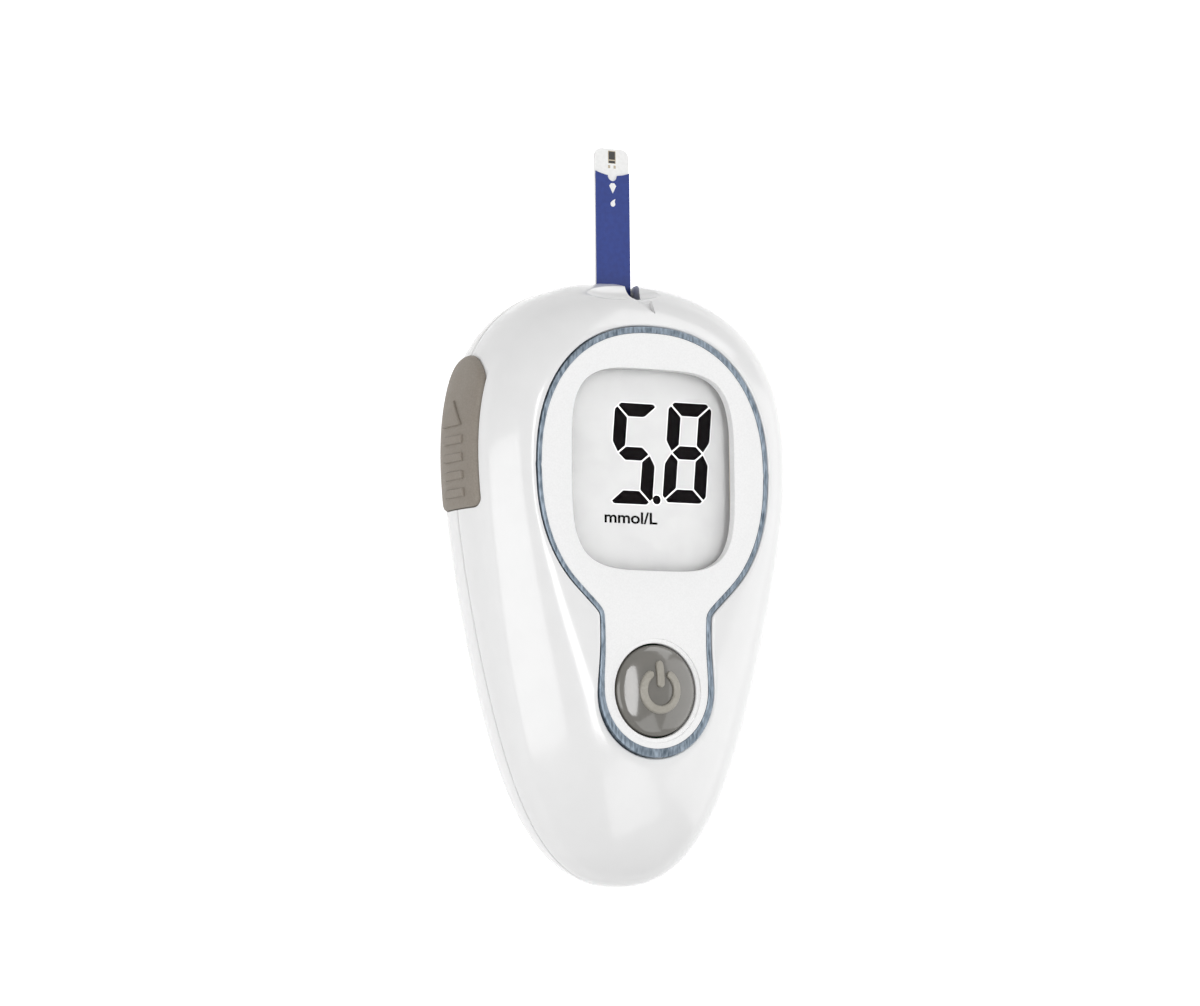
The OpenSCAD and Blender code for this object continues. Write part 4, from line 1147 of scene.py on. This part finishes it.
# %% Walls of the bay
BAY_HALF, BAY_Y0, BAY_Y1, BAY_WALL = 12.25, -51.0, -2.5, 1.3
BAY_LOW, BAY_TOP, BAY_ROOF = 4.9, 13.35, 1.0
walls = box_outline(-BAY_HALF - BAY_WALL, BAY_HALF + BAY_WALL, BAY_Y0 - BAY_WALL, BAY_Y1 + BAY_WALL)
bm = bmesh.new()
prism(bm, walls, "Z", BAY_LOW, BAY_TOP + BAY_ROOF)
bay = make_piece(bm, "battery_bay", abs_white, "casing")
cut(bay, [cutter(box_outline(-BAY_HALF, BAY_HALF, BAY_Y0, BAY_Y1), "Z", BELOW, BAY_TOP)])

# %% [markdown]
# ## Floor, light and camera
# A plain studio: a pale floor, a bright even surround, a large softbox on each side and three
# small ones. The surround and the floor look white to the camera, in reflections and through
# glass, while the light on the meter stays modest, so that white plastic keeps its shading.

# %% Floor
FLOOR_HALF, FLOOR_LOW = 900.0, -0.05
FLOOR_GLOW, SURROUND_GLOW, SURROUND_LIGHT = 0.62, 1.0, 0.15
WHITE = linear("#FFFFFF")


def looked_at(tree):
    """1 for rays that look at a surface: straight, in a reflection or through glass."""
    sight = add_node(tree, "ShaderNodeLightPath").outputs
    seen = sight["Is Camera Ray"]
    for ray in ("Is Glossy Ray", "Is Transmission Ray"):
        both = add_node(tree, "ShaderNodeMath", {0: seen, 1: sight[ray]}, operation="MAXIMUM")
        seen = both.outputs[0]
    return seen


bm = bmesh.new()
bmesh.ops.create_grid(bm, x_segments=1, y_segments=1, size=FLOOR_HALF)
bmesh.ops.translate(bm, verts=bm.verts, vec=(0, 0, FLOOR_LOW))
# Matt backdrop paper, uncoated, so it scatters light and mirrors nothing.
paper, tree, shader, place = new_material("paper_white_matt", Roughness=0.9)
two_tone(tree, shader, grain(tree, place, 2.0), "#F4F4F4", "#F7F7F7")
floor = make_piece(bm, "floor", paper)
glow = add_node(tree, "ShaderNodeEmission", {"Color": WHITE, "Strength": FLOOR_GLOW})
both = add_node(tree, "ShaderNodeAddShader", {0: shader.outputs[0], 1: glow.outputs[0]})
choice = add_node(tree, "ShaderNodeMixShader",
                  {0: looked_at(tree), 1: shader.outputs[0], 2: both.outputs[0]})
# The paper has no underside, so that the meter's back can be looked at through it.
side = add_node(tree, "ShaderNodeNewGeometry")
nothing = add_node(tree, "ShaderNodeBsdfTransparent")
one_sided = add_node(tree, "ShaderNodeMixShader",
                     {0: side.outputs["Backfacing"], 1: choice.outputs[0], 2: nothing.outputs[0]})
tree.links.new(one_sided.outputs[0], tree.nodes["Material Output"].inputs["Surface"])
print("floor:", round(2 * FLOOR_HALF * MM, 2), "m square")

# %% Surround
world = bpy.data.worlds.new("studio")
bpy.context.scene.world = world
world.use_nodes = True
tree = world.node_tree
tree.nodes.clear()
white = add_node(tree, "ShaderNodeBackground", {"Color": WHITE, "Strength": SURROUND_GLOW})
dim = add_node(tree, "ShaderNodeBackground", {"Color": WHITE, "Strength": SURROUND_LIGHT})
choice = add_node(tree, "ShaderNodeMixShader",
                  {0: looked_at(tree), 1: dim.outputs[0], 2: white.outputs[0]})
add_node(tree, "ShaderNodeOutputWorld", {"Surface": choice.outputs[0]})
print("surround: seen at", SURROUND_GLOW, "and lighting at", SURROUND_LIGHT)

# %% Lamps
LAMP_AIM, LAMP_REACH = Vector((0, -12, 15)), 560


def softbox(name, azimuth, elevation, wide, tall, watts):
    """A rectangular lamp round the meter: azimuth from +X, elevation from the floor, in degrees."""
    a, e = math.radians(azimuth), math.radians(elevation)
    way = Vector((math.cos(e) * math.cos(a), math.cos(e) * math.sin(a), math.sin(e)))
    light = bpy.data.lights.new(name, "AREA")
    light.shape = "RECTANGLE"
    light.size, light.size_y = wide * MM, tall * MM
    light.energy = watts
    made = bpy.data.objects.new(name, light)
    bpy.context.scene.collection.objects.link(made)
    made.location = (LAMP_AIM + way * LAMP_REACH) * MM
    made.rotation_euler = way.to_track_quat("Z", "Y").to_euler()
    print(name, watts, "W")


softbox("left_box", 192, 32, 440, 600, 1.8)
softbox("right_box", 356, 25, 560, 520, 1.05)
softbox("strip_side_box", 50, 31, 300, 260, 0.5)
softbox("foot_box", 300, 50, 240, 240, 0.25)
softbox("overhead_box", 0, 87, 420, 120, 1.03)

# %% Camera
# It looks down on the meter from its left and a little from its foot, rolled by half a degree.
CAMERA_AT = Vector((-325.15, -65.33, 555.81))
YAW, PITCH, ROLL = (math.radians(turn) for turn in (30.709, -5.517, -0.58))
LENS, SENSOR = 117.04, 36.0
level = Vector((-math.sin(YAW), 0, math.cos(YAW)))
right = Vector((math.cos(YAW), 0, math.sin(YAW)))
back = math.cos(PITCH) * level + math.sin(PITCH) * Vector((0, 1, 0))
up = math.cos(PITCH) * Vector((0, 1, 0)) - math.sin(PITCH) * level
right, up = math.cos(ROLL) * right + math.sin(ROLL) * up, math.cos(ROLL) * up - math.sin(ROLL) * right
view = bpy.data.cameras.new("camera")
view.lens, view.sensor_width = LENS, SENSOR
view.clip_start, view.clip_end = 0.01, 10.0
camera = bpy.data.objects.new("camera", view)
bpy.context.scene.collection.objects.link(camera)
turned = Matrix((right, up, back)).transposed().to_4x4()
camera.matrix_world = Matrix.Translation(CAMERA_AT * MM) @ turned
bpy.context.scene.camera = camera
bpy.context.scene.view_settings.view_transform = "Standard"
print("camera:", round(CAMERA_AT.length), "mm from the origin, lens", LENS)
